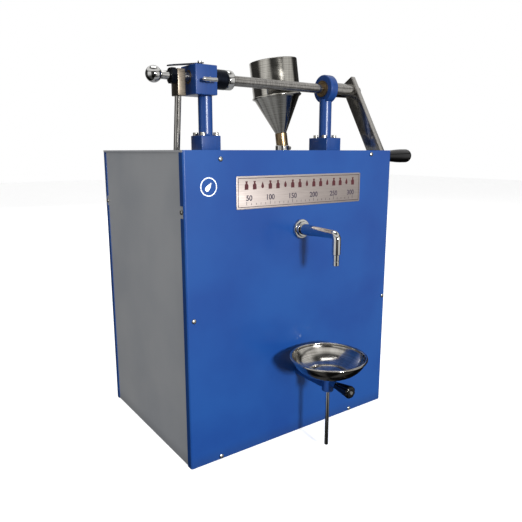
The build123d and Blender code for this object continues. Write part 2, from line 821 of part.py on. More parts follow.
def make_bowl_arm():
    z = bowl_arm_height
    spigot = bar_y(bowl_arm_radius - 2, front, front + skin + 8, 0, z)
    arm = bar_y(bowl_arm_radius, bowl_y, front, 0, z) + spigot
    boss = bar_z(boss_radius, z - boss_below, z + boss_above, 0, bowl_y)
    boss = chamfer(boss.edges().filter_by(GeomType.CIRCLE), 0.8)
    nose = bar_y(nose_radius, bowl_y - boss_radius - nose_length, bowl_y, 0, z + knob_above)
    arm = arm + boss + nose
    arm = arm - bar_z(bowl_rod_radius + fit, z - 30, z + 30, 0, bowl_y)
    arm = arm - bar_y(clamp_screw_radius + fit, bowl_y - 30, bowl_y, 0, z + knob_above)
    save("bowl_arm", arm)


def make_clamp_knob():
    """A fluted knob that widens away from its boss, on a screw that grips the bowl's rod."""
    z = bowl_arm_height + knob_above
    start = bowl_y - boss_radius - nose_length - knob_gap
    facing = Plane(origin=(0, start, z), z_dir=(0, -1, 0))
    outline = [(0, 0), (knob_root_radius, 0), (knob_radius, knob_length), (0, knob_length)]
    knob = turned(outline, 0, 0)
    knob = fillet(knob.edges().filter_by(GeomType.CIRCLE).sort_by(Axis.Z)[-1], 4.0)
    flare = degrees(atan2(knob_radius - knob_root_radius, knob_length))
    flute = Rot(0, flare, 0) * Pos(0, 0, knob_length / 2) * Cylinder(knob_flute_radius, 2 * knob_length)
    for index in range(knob_flutes):
        turn = Rot(0, 0, 360 * index / knob_flutes)
        knob = knob - turn * Pos(knob_root_radius + knob_flute_radius / 3, 0, 0) * flute
    knob = knob - Cylinder(clamp_screw_radius, 3 * knob_length)
    save("clamp_knob", facing * knob)
    inner = bowl_y - bowl_rod_radius - 0.3
    save("clamp_screw", bar_y(clamp_screw_radius, start - knob_length - 0.8, inner, 0, z))


# ---------------------------------------------------------------- pump


def tie_rod_spots():
    reach = tie_rod_pitch * cos(radians(45))
    return [(arm_x + sx * reach, pump_z + sz * reach) for sx in (-1, 1) for sz in (-1, 1)]


def make_pump_body():
    barrel = bar_y(bore_radius + barrel_wall, chamber_front, chamber_back, arm_x, pump_z)
    barrel = barrel - bar_y(bore_radius, chamber_front - 1, chamber_back + 1, arm_x, pump_z)
    save("pump_cylinder", barrel)
    cap_start = chamber_front - front_cap
    lid = bar_y(cap_radius, cap_start, chamber_front, arm_x, pump_z)
    lid = lid - bar_y(gland_radius, cap_start - 1, chamber_front + 1, arm_x, pump_z)
    cap_end = chamber_back + end_cap
    base = bar_y(cap_radius, chamber_back, cap_end, arm_x, pump_z)
    rods = []
    for x, z in tie_rod_spots():
        lid = lid - bar_y(tie_rod_radius, cap_start - 1, chamber_front + 1, x, z)
        base = base - bar_y(tie_rod_radius, chamber_back - 1, cap_end - 2.5, x, z)
        rod = bar_y(tie_rod_radius, cap_start - 6, cap_end - 2.5, x, z)
        nut = Pos(x, cap_start, z) * Rot(90, 0, 0) * extrude(RegularPolygon(5.5, 6), 5)
        rods.append(rod + nut)
    port_y = chamber_back + end_cap / 2
    base = base - bar_x(port_radius, arm_x, arm_x + cap_radius + 1, port_y, pump_z)
    base = base - bar_x(nipple_radius, arm_x + cap_radius - 10, arm_x + cap_radius + 1, port_y, pump_z)
    base = base - bar_y(port_radius, chamber_back - 1, port_y, arm_x + 8, pump_z)
    save("pump_front_cap", lid)
    save("pump_end_cap", base)
    save("tie_rods", rods)


def make_pump_gland():
    gland = bar_y(gland_radius, chamber_front - front_cap - 1, chamber_front, arm_x, pump_z)
    hole = bar_y(piston_rod_radius + fit, chamber_front - 30, chamber_front + 1, arm_x, pump_z)
    save("pump_gland", gland - hole)


def make_pump_brackets():
    half = cap_radius + 1.5
    low = pump_z - cap_radius - 1
    plates = []
    for y in (chamber_front + 12, chamber_back - 20):
        plate = block(arm_x - half, arm_x + half, y, y + bracket_thick, low, top_under)
        plate = plate - bar_y(bore_radius + barrel_wall, y - 1, y + bracket_thick + 1, arm_x, pump_z)
        for x, z in tie_rod_spots():
            plate = plate - bar_y(tie_rod_radius + slip, y - 1, y + bracket_thick + 1, x, z)
        plates.append(plate)
    save("pump_brackets", plates)


def make_piston():
    piston_front = piston_back - piston_thick
    disc = bar_y(bore_radius - piston_play, piston_front, piston_back, arm_x, pump_z)
    seals = []
    for start in (piston_front + 2, piston_back - 2 - seal_wide):
        ring = bar_y(bore_radius - fit, start, start + seal_wide, arm_x, pump_z)
        core = bar_y(bore_radius - seal_deep, start - 1, start + seal_wide + 1, arm_x, pump_z)
        ring = ring - core
        disc = disc - ring
        seals.append(ring)
    save("piston", disc)
    save("piston_seals", seals)
    rod_start = pin_y + yoke_web_from + yoke_web
    save("piston_rod", bar_y(piston_rod_radius, rod_start, piston_front, arm_x, pump_z))


def make_drive_yoke():
    outer = yoke_gap + yoke_ear
    web_end = pin_y + yoke_web_from + yoke_web
    low, high = pump_z - yoke_half, pump_z + yoke_half
    yoke = block(arm_x - outer, arm_x + outer, pin_y - yoke_half, web_end, low, high)
    gap = block(
        arm_x - yoke_gap,
        arm_x + yoke_gap,
        pin_y - yoke_half - 1,
        pin_y + yoke_web_from,
        pump_z - yoke_half - 1,
        pump_z + yoke_half + 1,
    )
    yoke = yoke - gap
    yoke = yoke - bar_x(pin_radius, arm_x - outer - 1, arm_x + outer + 1, pin_y, pump_z)
    save("drive_yoke", yoke)
    save("drive_pin", bar_x(pin_radius, arm_x - outer - 2, arm_x + outer + 2, pin_y, pump_z))


# ---------------------------------------------------------------- valves and pipes

valve_x = arm_x + cap_radius + valve_from_cap
valve_y = chamber_back + 0.5


def make_valve_block():
    half = valve_wide / 2
    deep = valve_deep / 2
    port_y = chamber_back + end_cap / 2
    body = block(valve_x - half, valve_x + half, valve_y - deep, valve_y + deep, valve_low, valve_high)
    body = body + bar_x(nipple_radius - fit, arm_x + cap_radius - 9.8, valve_x - half, port_y, pump_z)
    body = body - bar_z(inlet_hole, valve_low - 1, inlet_seat, valve_x, valve_y)
    body = body - bar_z(valve_bore, inlet_seat, outlet_seat - outlet_web, valve_x, valve_y)
    body = body - bar_z(outlet_hole, outlet_seat - outlet_web - 1, outlet_seat, valve_x, valve_y)
    body = body - bar_z(valve_bore, outlet_seat, valve_high - 3, valve_x, valve_y)
    body = body - bar_x(port_radius, arm_x + cap_radius - 12, valve_x, port_y, pump_z)
    body = body - bar_y(inlet_hole, valve_y - valve_deep, valve_y, valve_x, outlet_port)
    save("valve_block", body)


def make_valve_balls():
    balls = [("inlet_ball", inlet_seat, inlet_hole), ("outlet_ball", outlet_seat, outlet_hole)]
    for name, seat, hole in balls:
        rise = sqrt(valve_ball ** 2 - hole ** 2) + fit
        save(name, Pos(valve_x, valve_y, seat + rise) * Sphere(valve_ball))


def bent_pipe(points):
    path = FilletPolyline(*points, radius=pipe_bend)
    start = Plane(origin=path @ 0, z_dir=path % 0)
    ring = start * (Circle(pipe_radius) - Circle(pipe_bore))
    return sweep(ring, path)


def make_pipes():
    low_lane = pump_z - suction_below
    suction = [
        (hopper_x, hopper_y, top - neck_tail),
        (hopper_x, hopper_y, low_lane),
        (hopper_x, valve_y, low_lane),
        (valve_x, valve_y, low_lane),
        (valve_x, valve_y, valve_low),
    ]
    save("suction_pipe", bent_pipe(suction))
    discharge = [
        (valve_x, valve_y - valve_deep / 2, outlet_port),
        (valve_x, discharge_lane, outlet_port),
        (0, discharge_lane, outlet_port),
        (0, discharge_lane, spout_height),
        (0, front + skin + 4, spout_height),
    ]
    save("discharge_pipe", bent_pipe(discharge))


make_front_panel()
make_back_panel()
make_side_panel("left_side_panel", -1)
make_side_panel("right_side_panel", 1)
make_base_plate()
make_top_plate()
make_frame_angles()
make_panel_screws()
make_name_plate()
make_left_post()
make_left_bearing_block()
make_left_bush()
make_bearing_sleeve()
make_shaft_collar()
make_right_post()
make_right_bush()
make_post_bolts()
make_main_shaft()
make_lock_screw()
make_pointer_strip()
make_pointer_screw()
make_arm_hub()
make_drop_arm()
make_ball_handle()
make_lever_hub()
make_hand_lever()
make_lever_nut()
make_grip()
make_hopper()
make_hopper_neck()
make_hopper_nut()
make_spout()
make_bowl()
make_bowl_arm()
make_clamp_knob()
make_pump_body()
make_pump_gland()
make_pump_brackets()
make_piston()
make_drive_yoke()
make_valve_block()
make_valve_balls()
make_pipes()
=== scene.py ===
import math

import bmesh
import bpy
from mathutils import Matrix, Vector


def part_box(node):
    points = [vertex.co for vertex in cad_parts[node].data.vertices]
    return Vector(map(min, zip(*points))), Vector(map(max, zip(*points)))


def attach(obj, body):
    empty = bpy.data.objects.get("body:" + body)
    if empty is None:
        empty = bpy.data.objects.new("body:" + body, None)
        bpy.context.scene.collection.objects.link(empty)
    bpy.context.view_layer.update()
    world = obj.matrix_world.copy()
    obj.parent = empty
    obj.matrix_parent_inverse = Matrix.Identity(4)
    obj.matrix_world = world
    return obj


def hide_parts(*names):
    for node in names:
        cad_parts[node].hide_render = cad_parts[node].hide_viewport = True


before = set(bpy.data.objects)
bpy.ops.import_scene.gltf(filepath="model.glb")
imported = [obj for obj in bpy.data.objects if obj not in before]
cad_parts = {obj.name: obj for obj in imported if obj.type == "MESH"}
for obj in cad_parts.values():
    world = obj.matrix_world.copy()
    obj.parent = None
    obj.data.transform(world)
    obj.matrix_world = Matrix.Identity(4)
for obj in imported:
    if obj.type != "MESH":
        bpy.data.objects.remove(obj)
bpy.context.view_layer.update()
mm = 0.001
onFront = Matrix(((1, 0, 0), (0, 0, -1), (0, 1, 0))).to_4x4()  # X along the front, Y up it, Z out of it
print("frame loaded:", len(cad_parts), "nodes")


def linearColour(hexCode):
    # sRGB hex to the linear colour that a shader works in
    channels = [int(hexCode[i:i + 2], 16) / 255 for i in (1, 3, 5)]
    linear = [c / 12.92 if c <= 0.04045 else ((c + 0.055) / 1.055) ** 2.4 for c in channels]
    return (*linear, 1.0)


def addNode(tree, kind, settings, inputs):
    # one node with its settings, values and links
    node = tree.nodes.new(kind)
    for name, value in settings.items():
        setattr(node, name, value)
    for socket, value in inputs.items():
        if isinstance(value, bpy.types.NodeSocket):
            tree.links.new(value, node.inputs[socket])
        else:
            node.inputs[socket].default_value = value
    return node


def startMaterial(name, colour, metallic, roughness):
    material = bpy.data.materials.new(name)
    material.use_nodes = True
    tree = material.node_tree
    shader = tree.nodes["Principled BSDF"]
    shader.inputs["Base Color"].default_value = linearColour(colour)
    shader.inputs["Metallic"].default_value = metallic
    shader.inputs["Roughness"].default_value = roughness
    coords = addNode(tree, "ShaderNodeTexCoord", {}, {}).outputs["Object"]
    return material, tree, shader, coords


def setGloss(shader, specular, coat, coatRoughness):
    # values that are even all over stay on the shader itself
    shader.inputs["Specular IOR Level"].default_value = specular
    shader.inputs["Coat Weight"].default_value = coat
    shader.inputs["Coat Roughness"].default_value = coatRoughness


def linkObject(name, data):
    thing = bpy.data.objects.new(name, data)
    bpy.context.scene.collection.objects.link(thing)
    return thing


def finishPiece(name, bm, material, body, replaced=(), sharpAngle=32):
    # smooth between sharp edges, one finish, and a ride on its body
    mesh = bpy.data.meshes.new(name)
    bm.to_mesh(mesh)
    bm.free()
    mesh.shade_smooth()
    mesh.set_sharp_from_angle(angle=math.radians(sharpAngle))
    piece = linkObject(name, mesh)
    piece.data.materials.append(material)
    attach(piece, body)
    if replaced:
        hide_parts(*replaced)


def spinInto(bm, points, matrix, steps=96):
    # points are (radius, height), turned about the local Z axis and then placed
    verts = [bm.verts.new((radius, 0, height)) for radius, height in points]
    edges = [bm.edges.new(pair) for pair in zip(verts, verts[1:])]
    before = set(bm.verts)
    bmesh.ops.spin(
        bm, geom=verts + edges, cent=(0, 0, 0), axis=(0, 0, 1), dvec=(0, 0, 0),
        angle=2 * math.pi, steps=steps, use_merge=True, use_normal_flip=False, use_duplicate=False)
    made = [v for v in bm.verts if v in verts or v not in before]
    bmesh.ops.remove_doubles(bm, verts=made, dist=1e-7)
    made = [v for v in made if v.is_valid]
    faces = list({f for v in made for f in v.link_faces})
    bmesh.ops.recalc_face_normals(bm, faces=faces)
    bmesh.ops.transform(bm, matrix=matrix, verts=made)


def aim(place, direction):
    # local +Z along the direction, at the place
    turn = Vector(direction).to_track_quat("Z", "Y").to_matrix().to_4x4()
    return Matrix.Translation(place) @ turn


def turned(degrees, axis="Z"):
    return Matrix.Rotation(math.radians(degrees), 4, axis)


def roundedEdge(centreRadius, centreHeight, radius, startDegrees, endDegrees, steps=6):
    # an arc in a turned outline, from one angle to another about its own centre
    arc = []
    for i in range(steps + 1):
        angle = math.radians(startDegrees + (endDegrees - startDegrees) * i / steps)
        arc.append((centreRadius + radius * math.cos(angle), centreHeight + radius * math.sin(angle)))
    return arc


def middle(node):
    low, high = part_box(node)
    return (low + high) / 2


# In each colour Mix node, socket 0 is the amount, 6 and 7 are the colours and output 2 is the result.

def powderCoat(name, colour, paler, roughness, peelDepth):
    # powder coat baked on sheet steel: even colour and satin gloss, a wavering reflection, painted shade at
    # the foot
    material, tree, shader, coords = startMaterial(name, colour, 0.0, roughness)
    cloud = addNode(tree, "ShaderNodeTexNoise", {},
                    {"Vector": coords, "Scale": 1 / (120 * mm), "Detail": 3.0})
    tone = addNode(tree, "ShaderNodeMapRange", {},
                   {"Value": cloud.outputs[0], "From Min": 0.35, "From Max": 0.65})
    mix = addNode(tree, "ShaderNodeMix", {"data_type": "RGBA"},
                  {0: tone.outputs[0], 6: linearColour(colour), 7: linearColour(paler)})
    split = addNode(tree, "ShaderNodeSeparateXYZ", {}, {0: coords})
    # painted shade: the lowest 22 mm is darkened towards near black, standing in for shadow at the foot
    footShade = addNode(tree, "ShaderNodeMapRange", {"interpolation_type": "SMOOTHSTEP"},
                    {"Value": split.outputs["Z"], "From Min": 0.0, "From Max": 22 * mm,
                     "To Min": 0.22, "To Max": 0.0})
    shadedFoot = addNode(tree, "ShaderNodeMix", {"data_type": "RGBA"},
                    {0: footShade.outputs[0], 6: mix.outputs[2], 7: linearColour("#23262b")})
    tree.links.new(shadedFoot.outputs[2], shader.inputs["Base Color"])
    # real orange peel is under a millimetre across, and is drawn at 1.8 mm so that it shows
    peel = addNode(tree, "ShaderNodeTexNoise", {},
                   {"Vector": coords, "Scale": 1 / (1.8 * mm), "Detail": 2.0})
    sag = addNode(tree, "ShaderNodeTexNoise", {},
                  {"Vector": coords, "Scale": 1 / (70 * mm), "Detail": 1.0})
    wave = addNode(tree, "ShaderNodeMath", {"operation": "MULTIPLY_ADD"},
                   {0: sag.outputs[0], 1: 3.0, 2: peel.outputs[0]})
    bump = addNode(tree, "ShaderNodeBump", {},
                   {"Strength": 0.35, "Distance": peelDepth, "Height": wave.outputs[0]})
    tree.links.new(bump.outputs[0], shader.inputs["Normal"])
    setGloss(shader, 0.35, 0.08, 0.12)
    return material


def brushEnamel(name, colour, deeper):
    # gloss enamel brushed by hand on machined steel: wet highlights, faint brush runs down the columns
    material, tree, shader, coords = startMaterial(name, colour, 0.0, 0.34)
    stretch = addNode(tree, "ShaderNodeMapping", {}, {"Vector": coords, "Scale": (1.0, 1.0, 0.12)})
    run = addNode(tree, "ShaderNodeTexNoise", {},
                  {"Vector": stretch.outputs[0], "Scale": 1 / (5 * mm), "Detail": 4.0})
    mix = addNode(tree, "ShaderNodeMix", {"data_type": "RGBA"},
                  {0: run.outputs[0], 6: linearColour(colour), 7: linearColour(deeper)})
    tree.links.new(mix.outputs[2], shader.inputs["Base Color"])
    bump = addNode(tree, "ShaderNodeBump", {},
                   {"Strength": 0.3, "Distance": 0.12 * mm, "Height": run.outputs[0]})
    tree.links.new(bump.outputs[0], shader.inputs["Normal"])
    setGloss(shader, 0.4, 0.06, 0.14)
    return material


def workedMetal(name, colour, darker, roughness, lineScale, lineDepth, smudge=0.08):
    # bare metal: tool lines that pull the highlights out, and handled patches that dull them
    # lineScale is lines in a millimetre along X, Y and Z, drawn coarser than real ones so that they show
    material, tree, shader, coords = startMaterial(name, colour, 1.0, roughness)
    stretch = addNode(tree, "ShaderNodeMapping", {},
                      {"Vector": coords, "Scale": tuple(s / mm for s in lineScale)})
    lines = addNode(tree, "ShaderNodeTexNoise", {},
                    {"Vector": stretch.outputs[0], "Scale": 1.0, "Detail": 3.0})
    tone = addNode(tree, "ShaderNodeMapRange", {},
                   {"Value": lines.outputs[0], "From Min": 0.3, "From Max": 0.7})
    mix = addNode(tree, "ShaderNodeMix", {"data_type": "RGBA"},
                  {0: tone.outputs[0], 6: linearColour(darker), 7: linearColour(colour)})
    tree.links.new(mix.outputs[2], shader.inputs["Base Color"])
    cloud = addNode(tree, "ShaderNodeTexNoise", {},
                    {"Vector": coords, "Scale": 1 / (14 * mm), "Detail": 3.0})
    rough = addNode(tree, "ShaderNodeMapRange", {},
                    {"Value": cloud.outputs[0], "From Min": 0.3, "From Max": 0.75,
                     "To Min": roughness, "To Max": roughness + smudge})
    tree.links.new(rough.outputs[0], shader.inputs["Roughness"])
    bump = addNode(tree, "ShaderNodeBump", {},
                   {"Strength": 0.25, "Distance": lineDepth * mm, "Height": lines.outputs[0]})
    tree.links.new(bump.outputs[0], shader.inputs["Normal"])
    return material


def spunSteel(name, colour, darker, roughness, axisPoint, ringWidth, streaks):
    # stainless sheet spun on a lathe and buffed by hand: faint rings about its axis, dark streaks down it
    # ringWidth is in millimetres, and more streaks make narrower ones
    material, tree, shader, coords = startMaterial(name, colour, 1.0, roughness)
    centred = addNode(tree, "ShaderNodeVectorMath", {"operation": "SUBTRACT"},
                      {0: coords, 1: tuple(axisPoint)})
    length = addNode(tree, "ShaderNodeVectorMath", {"operation": "LENGTH"}, {0: centred.outputs[0]})
    rings = addNode(tree, "ShaderNodeTexNoise", {"noise_dimensions": "1D"},
                    {"W": length.outputs["Value"], "Scale": 1 / (ringWidth * mm), "Detail": 3.0})
    flatten = addNode(tree, "ShaderNodeVectorMath", {"operation": "MULTIPLY"},
                      {0: centred.outputs[0], 1: (1, 1, 0)})
    heading = addNode(tree, "ShaderNodeVectorMath", {"operation": "NORMALIZE"}, {0: flatten.outputs[0]})
    wall = addNode(tree, "ShaderNodeTexNoise", {},
                   {"Vector": heading.outputs[0], "Scale": streaks, "Detail": 5.0})
    both = addNode(tree, "ShaderNodeMath", {"operation": "MULTIPLY_ADD"},
                   {0: wall.outputs[0], 1: 1.6, 2: rings.outputs[0]})
    tone = addNode(tree, "ShaderNodeMapRange", {},
                   {"Value": both.outputs[0], "From Min": 1.0, "From Max": 1.55})
    mix = addNode(tree, "ShaderNodeMix", {"data_type": "RGBA"},
                  {0: tone.outputs[0], 6: linearColour(darker), 7: linearColour(colour)})
    tree.links.new(mix.outputs[2], shader.inputs["Base Color"])
    cloud = addNode(tree, "ShaderNodeTexNoise", {},
                    {"Vector": coords, "Scale": 1 / (22 * mm), "Detail": 4.0})
    rough = addNode(tree, "ShaderNodeMapRange", {},
                    {"Value": cloud.outputs[0], "From Min": 0.35, "From Max": 0.75,
                     "To Min": roughness, "To Max": roughness + 0.1})
    tree.links.new(rough.outputs[0], shader.inputs["Roughness"])
    bump = addNode(tree, "ShaderNodeBump", {},
                   {"Strength": 0.2, "Distance": 0.02 * mm, "Height": rings.outputs[0]})
    tree.links.new(bump.outputs[0], shader.inputs["Normal"])
    return material


def mouldedPhenolic(name, colour):
    # phenolic resin from a polished mould: near black, deep gloss with the faint haze of handling
    material, tree, shader, coords = startMaterial(name, colour, 0.0, 0.2)
    haze = addNode(tree, "ShaderNodeTexNoise", {},
                   {"Vector": coords, "Scale": 1 / (9 * mm), "Detail": 4.0})
    rough = addNode(tree, "ShaderNodeMapRange", {},
                    {"Value": haze.outputs[0], "From Min": 0.35, "From Max": 0.7,
                     "To Min": 0.1, "To Max": 0.22})
    tree.links.new(rough.outputs[0], shader.inputs["Roughness"])
    bump = addNode(tree, "ShaderNodeBump", {},
                   {"Strength": 0.12, "Distance": 0.05 * mm, "Height": haze.outputs[0]})
    tree.links.new(bump.outputs[0], shader.inputs["Normal"])
    setGloss(shader, 0.35, 0.12, 0.04)
    return material


def screenInk(name, colour):
    # screen-printed ink: flat, dull colour with the slight grain of the mesh it was pressed through
    material, tree, shader, coords = startMaterial(name, colour, 0.0, 0.45)
    grain = addNode(tree, "ShaderNodeTexNoise", {},
                    {"Vector": coords, "Scale": 1 / (0.6 * mm), "Detail": 3.0})
    bump = addNode(tree, "ShaderNodeBump", {},
                   {"Strength": 0.2, "Distance": 0.03 * mm, "Height": grain.outputs[0]})
    tree.links.new(bump.outputs[0], shader.inputs["Normal"])
    return material


hopperFoot = middle("hopper_nut")
hopperFoot.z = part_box("hopper_nut")[1].z

# sheet steel: a deep blue front and back, pale grey sides and top
blueCoat = powderCoat("blue powder coat", "#0e3a7d", "#144486", 0.36, 0.12 * mm)
greyCoat = powderCoat("grey powder coat", "#a2a5aa", "#acaeb1", 0.42, 0.1 * mm)
enamel = brushEnamel("blue brushed enamel", "#153f80", "#0f3168")  # a shade duller than the front
# bare steels: dark mill scale inside, ground bars that shine in stripes, a soft grey turned pump
mildSteel = workedMetal("black mild steel", "#3a3d42", "#2a2c30", 0.45, (0.08, 0.08, 0.4), 0.02)
shaftSteel = workedMetal("ground shaft steel", "#b4b1ac", "#7d7a76", 0.17, (1.2, 0.12, 0.12), 0.01)
leverSteel = workedMetal("ground lever steel", "#bab7b2", "#8a8782", 0.16, (1.2, 1.2, 0.05), 0.01)
pumpSteel = workedMetal("turned stainless", "#a9a9a7", "#8d8d8b", 0.25, (0.1, 1.4, 0.1), 0.02)
# plated and blackened parts: warm dull zinc, mirror chrome, a blue-black oxide
zinc = workedMetal("zinc plated screw", "#c3c1b9", "#a3a199", 0.3, (0.6, 0.6, 0.6), 0.01)
chrome = workedMetal("polished chrome", "#d4d3d0", "#c4c3c0", 0.07, (0.1, 0.1, 0.1), 0.004, 0.05)
blackened = workedMetal("blackened steel", "#20242f", "#14161d", 0.36, (1.2, 0.1, 0.1), 0.02)
# brass gone brown with age, and duller on the hub, which was sawn from bar
brass = workedMetal("turned brass", "#a68f6e", "#7a664b", 0.3, (1.6, 0.1, 0.1), 0.02)
bronze = workedMetal("dull hub brass", "#978c7d", "#6e655a", 0.3, (0.2, 0.2, 1.2), 0.02)
# label plate brushed along its length: matt, with a pinkish cast
nickel = workedMetal("brushed label plate", "#bdb3ae", "#a89e99", 0.5, (0.05, 1.5, 2.4), 0.01)
# spun sheet: bright with grey streaks, stronger on the hopper
hopperSteel = spunSteel("spun stainless hopper", "#c4c1b9", "#77746d", 0.12, hopperFoot, 1.1, 5.0)
bowlSteel = spunSteel("spun stainless bowl", "#c9c5be", "#8f8b84", 0.12, middle("drip_bowl"), 0.9, 2.5)
# black grips with wet highlights, and seals a shade greyer
phenolic = mouldedPhenolic("black phenolic", "#050505")
nitrile = mouldedPhenolic("nitrile rubber", "#101012")
# inks: wine red figures, violet grey numbers, a brown-black border, a white emblem
redInk = screenInk("dark red ink", "#430a14")
greyInk = screenInk("violet grey ink", "#3f3742")
darkInk = screenInk("border ink", "#3b2f33")
whiteInk = screenInk("white ink", "#e9edf4")
print("materials made")

finishes = {
    "front_panel": blueCoat, "back_panel": blueCoat,
    "left_side_panel": greyCoat, "right_side_panel": greyCoat, "top_plate": greyCoat,
    "base_plate": mildSteel, "frame_angles": mildSteel, "pump_brackets": mildSteel,
    "left_post": enamel, "left_bearing_block": enamel, "right_post": enamel, "bowl_arm": enamel,
    "post_bolts": zinc, "pointer_screw": zinc, "lock_screw": chrome, "thumb_screw": zinc, "tie_rods": zinc,
    "left_bush": brass, "right_bush": brass, "arm_hub": bronze, "hopper_neck": brass, "pump_gland": brass,
    "inlet_ball": brass, "outlet_ball": brass,
    "main_shaft": shaftSteel, "lever_hub": shaftSteel, "lever_nut": shaftSteel, "handle_spindle": shaftSteel,
    "handle_rod": chrome, "drop_arm": leverSteel, "hand_lever": leverSteel, "bowl_rod": leverSteel,
    "pointer_strip": blackened, "bearing_sleeve": blackened, "hub_lock_nut": blackened,
    "shaft_collar": chrome, "ball_knob": chrome, "hopper_nut": chrome, "spout_flange": chrome,
    "spout_pipe": chrome, "spout_tip": chrome, "clamp_screw": chrome,
    "hopper": hopperSteel, "drip_bowl": bowlSteel, "bowl_nut": zinc,
    "hand_grip": phenolic, "clamp_knob": phenolic,
    "piston_seals": nitrile, "name_plate": nickel, "panel_screws": zinc,
}
for nodeName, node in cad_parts.items():
    for materialSlot in node.material_slots:
        materialSlot.material = finishes.get(nodeName, pumpSteel)  # the pump parts inside share one finish
print("CAD nodes finished")


def islandBoxes(node):
    # the box of each separate solid in a CAD node
    bm = bmesh.new()
    bm.from_mesh(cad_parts[node].data)
    bmesh.ops.remove_doubles(bm, verts=bm.verts[:], dist=1e-6)
    boxes, seen = [], set()
    for start in bm.verts:
        if start in seen:
            continue
        stack, island = [start], []
        seen.add(start)
        while stack:
            vert = stack.pop()
            island.append(vert.co.copy())
            for edge in vert.link_edges:
                other = edge.other_vert(vert)
                if other not in seen:
                    seen.add(other)
                    stack.append(other)
        low = Vector([min(co[i] for co in island) for i in range(3)])
        high = Vector([max(co[i] for co in island) for i in range(3)])
        boxes.append((low, high))
    bm.free()
    return boxes


def carve(bm, tool, operation="DIFFERENCE"):
    # cuts one closed shape with another and hands back a mesh
    parts = []
    for shape in (bm, tool):
        mesh = bpy.data.meshes.new("carved")
        shape.to_mesh(mesh)
        shape.free()
        parts.append(linkObject("carved", mesh))
    cut = parts[0].modifiers.new("cut", "BOOLEAN")
    cut.object = parts[1]
    cut.operation = operation
    cut.use_self = True
    return meshAndRemove(parts)


def meshAndRemove(things):
    # the first object's finished mesh, with the helper objects cleared away
    mesh = bpy.data.meshes.new_from_object(things[0].evaluated_get(bpy.context.evaluated_depsgraph_get()))
    for thing in things:
        bpy.data.objects.remove(thing)
    return mesh


def addMesh(bm, mesh, matrix):
    before = set(bm.verts)
    bm.from_mesh(mesh)
    made = [v for v in bm.verts if v not in before]
    bmesh.ops.transform(bm, matrix=matrix, verts=made)
    return made


def boxInto(bm, size, matrix=Matrix.Identity(4)):
    # a box about its own middle, then placed
    verts = bmesh.ops.create_cube(bm, size=1.0)["verts"]
    bmesh.ops.scale(bm, vec=size, verts=verts)
    bmesh.ops.transform(bm, matrix=matrix, verts=verts)
    return verts


def bevelEdges(bm, edges, offset, segments):
    bmesh.ops.bevel(bm, geom=edges, offset=offset, affect="EDGES", segments=segments,
                    profile=0.5, material=-1)


def slab(bm, low, high, edge, segments=3):
    # a box between two corners with its edges rounded over
    verts = boxInto(bm, high - low, Matrix.Translation((low + high) / 2))
    bevelEdges(bm, list({e for v in verts for e in v.link_edges}), edge, segments)


def barProfile(radius, length, edge, steps=4):
    # closed outline of a round bar with both rims rounded over
    foot = roundedEdge(radius - edge, edge, edge, -90, 0, steps)
    head = roundedEdge(radius - edge, length - edge, edge, 0, 90, steps)
    return [(0.0, 0.0)] + foot + head + [(0.0, length)]


def along(node, axis, outward):
    # the start of a node on its own axis, its direction, its length and its radius
    low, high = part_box(node)
    start = (low + high) / 2
    start[axis] = low[axis] if outward > 0 else high[axis]
    direction = Vector((0, 0, 0))
    direction[axis] = outward
    across = [high[i] - low[i] for i in range(3) if i != axis]
    return start, direction, high[axis] - low[axis], max(across) / 2


# panel screws: pan heads with a cross recess, each left at its own angle
screwSizes = {"head": 3.4 * mm, "headHeight": 2.4 * mm, "shank": 1.9 * mm, "length": 8.0 * mm,
              "recess": 1.9 * mm, "recessWidth": 0.75 * mm, "recessDepth": 1.2 * mm, "turn": 37, "sides": 32}


def screwTemplate(s):
    head, height = s["head"], s["headHeight"]
    crown = [(0.0, height), (head * 0.45, height * 0.96), (head * 0.75, height * 0.8)]
    rim = roundedEdge(head * 0.9, height * 0.5, head * 0.1, 60, 0, 4)
    shank = [(head, 0.0), (s["shank"], 0.0), (s["shank"], -s["length"]), (0.0, -s["length"])]
    bm = bmesh.new()
    spinInto(bm, crown + rim + shank, Matrix.Identity(4), s["sides"])
    cross = bmesh.new()
    for degrees in (0, 90):
        boxInto(cross, (2 * s["recess"], s["recessWidth"], 2 * s["recessDepth"]),
                Matrix.Translation((0, 0, height)) @ turned(degrees))
    return carve(bm, cross)


def makePanelScrews(s):
    template = screwTemplate(s)
    bm = bmesh.new()
    for index, (low, high) in enumerate(islandBoxes("panel_screws")):
        size = high - low
        axis = max(range(3), key=lambda i: size[i])
        outward = Vector((0, 0, 0))
        outward[axis] = 1 if (low + high)[axis] > 0 else -1
        seat = (low + high) / 2
        seat[axis] = (high if outward[axis] > 0 else low)[axis] - outward[axis] * s["headHeight"]
        addMesh(bm, template, aim(seat, outward) @ turned(s["turn"] * index))
    finishPiece("panelScrewSet", bm, zinc, "frame", ["panel_screws"])


makePanelScrews(screwSizes)
print("panel screws made")

# name plate: brushed plate with a printed border, pictograms and a filling scale in millilitres
plateSizes = {"edge": 0.25 * mm, "corner": 2.0 * mm, "borderInset": 2.6 * mm, "borderLine": 0.9 * mm,
              "print": 0.12 * mm, "rowShare": 0.86, "bottleHeight": 12.0 * mm, "bottleWide": 6.4 * mm,
              "bottles": 16, "bottleRise": 0.22, "dropShare": 0.8, "marks": 26, "tick": 3.0 * mm,
              "tickLine": 0.7 * mm, "longTick": 1.7, "tickFall": 0.38, "numbers": 6, "numberStep": 50,
              "digitHeight": 9.0 * mm, "digitWeight": 0.28 * mm, "numberFall": 0.24}


def plateFrame():
    # the middle of the plate's face, with its length, height and thickness
    low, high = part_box("name_plate")
    face = Matrix.Translation(((low.x + high.x) / 2, low.y, (low.z + high.z) / 2)) @ onFront
    return face, high.x - low.x, high.z - low.z, high.y - low.y


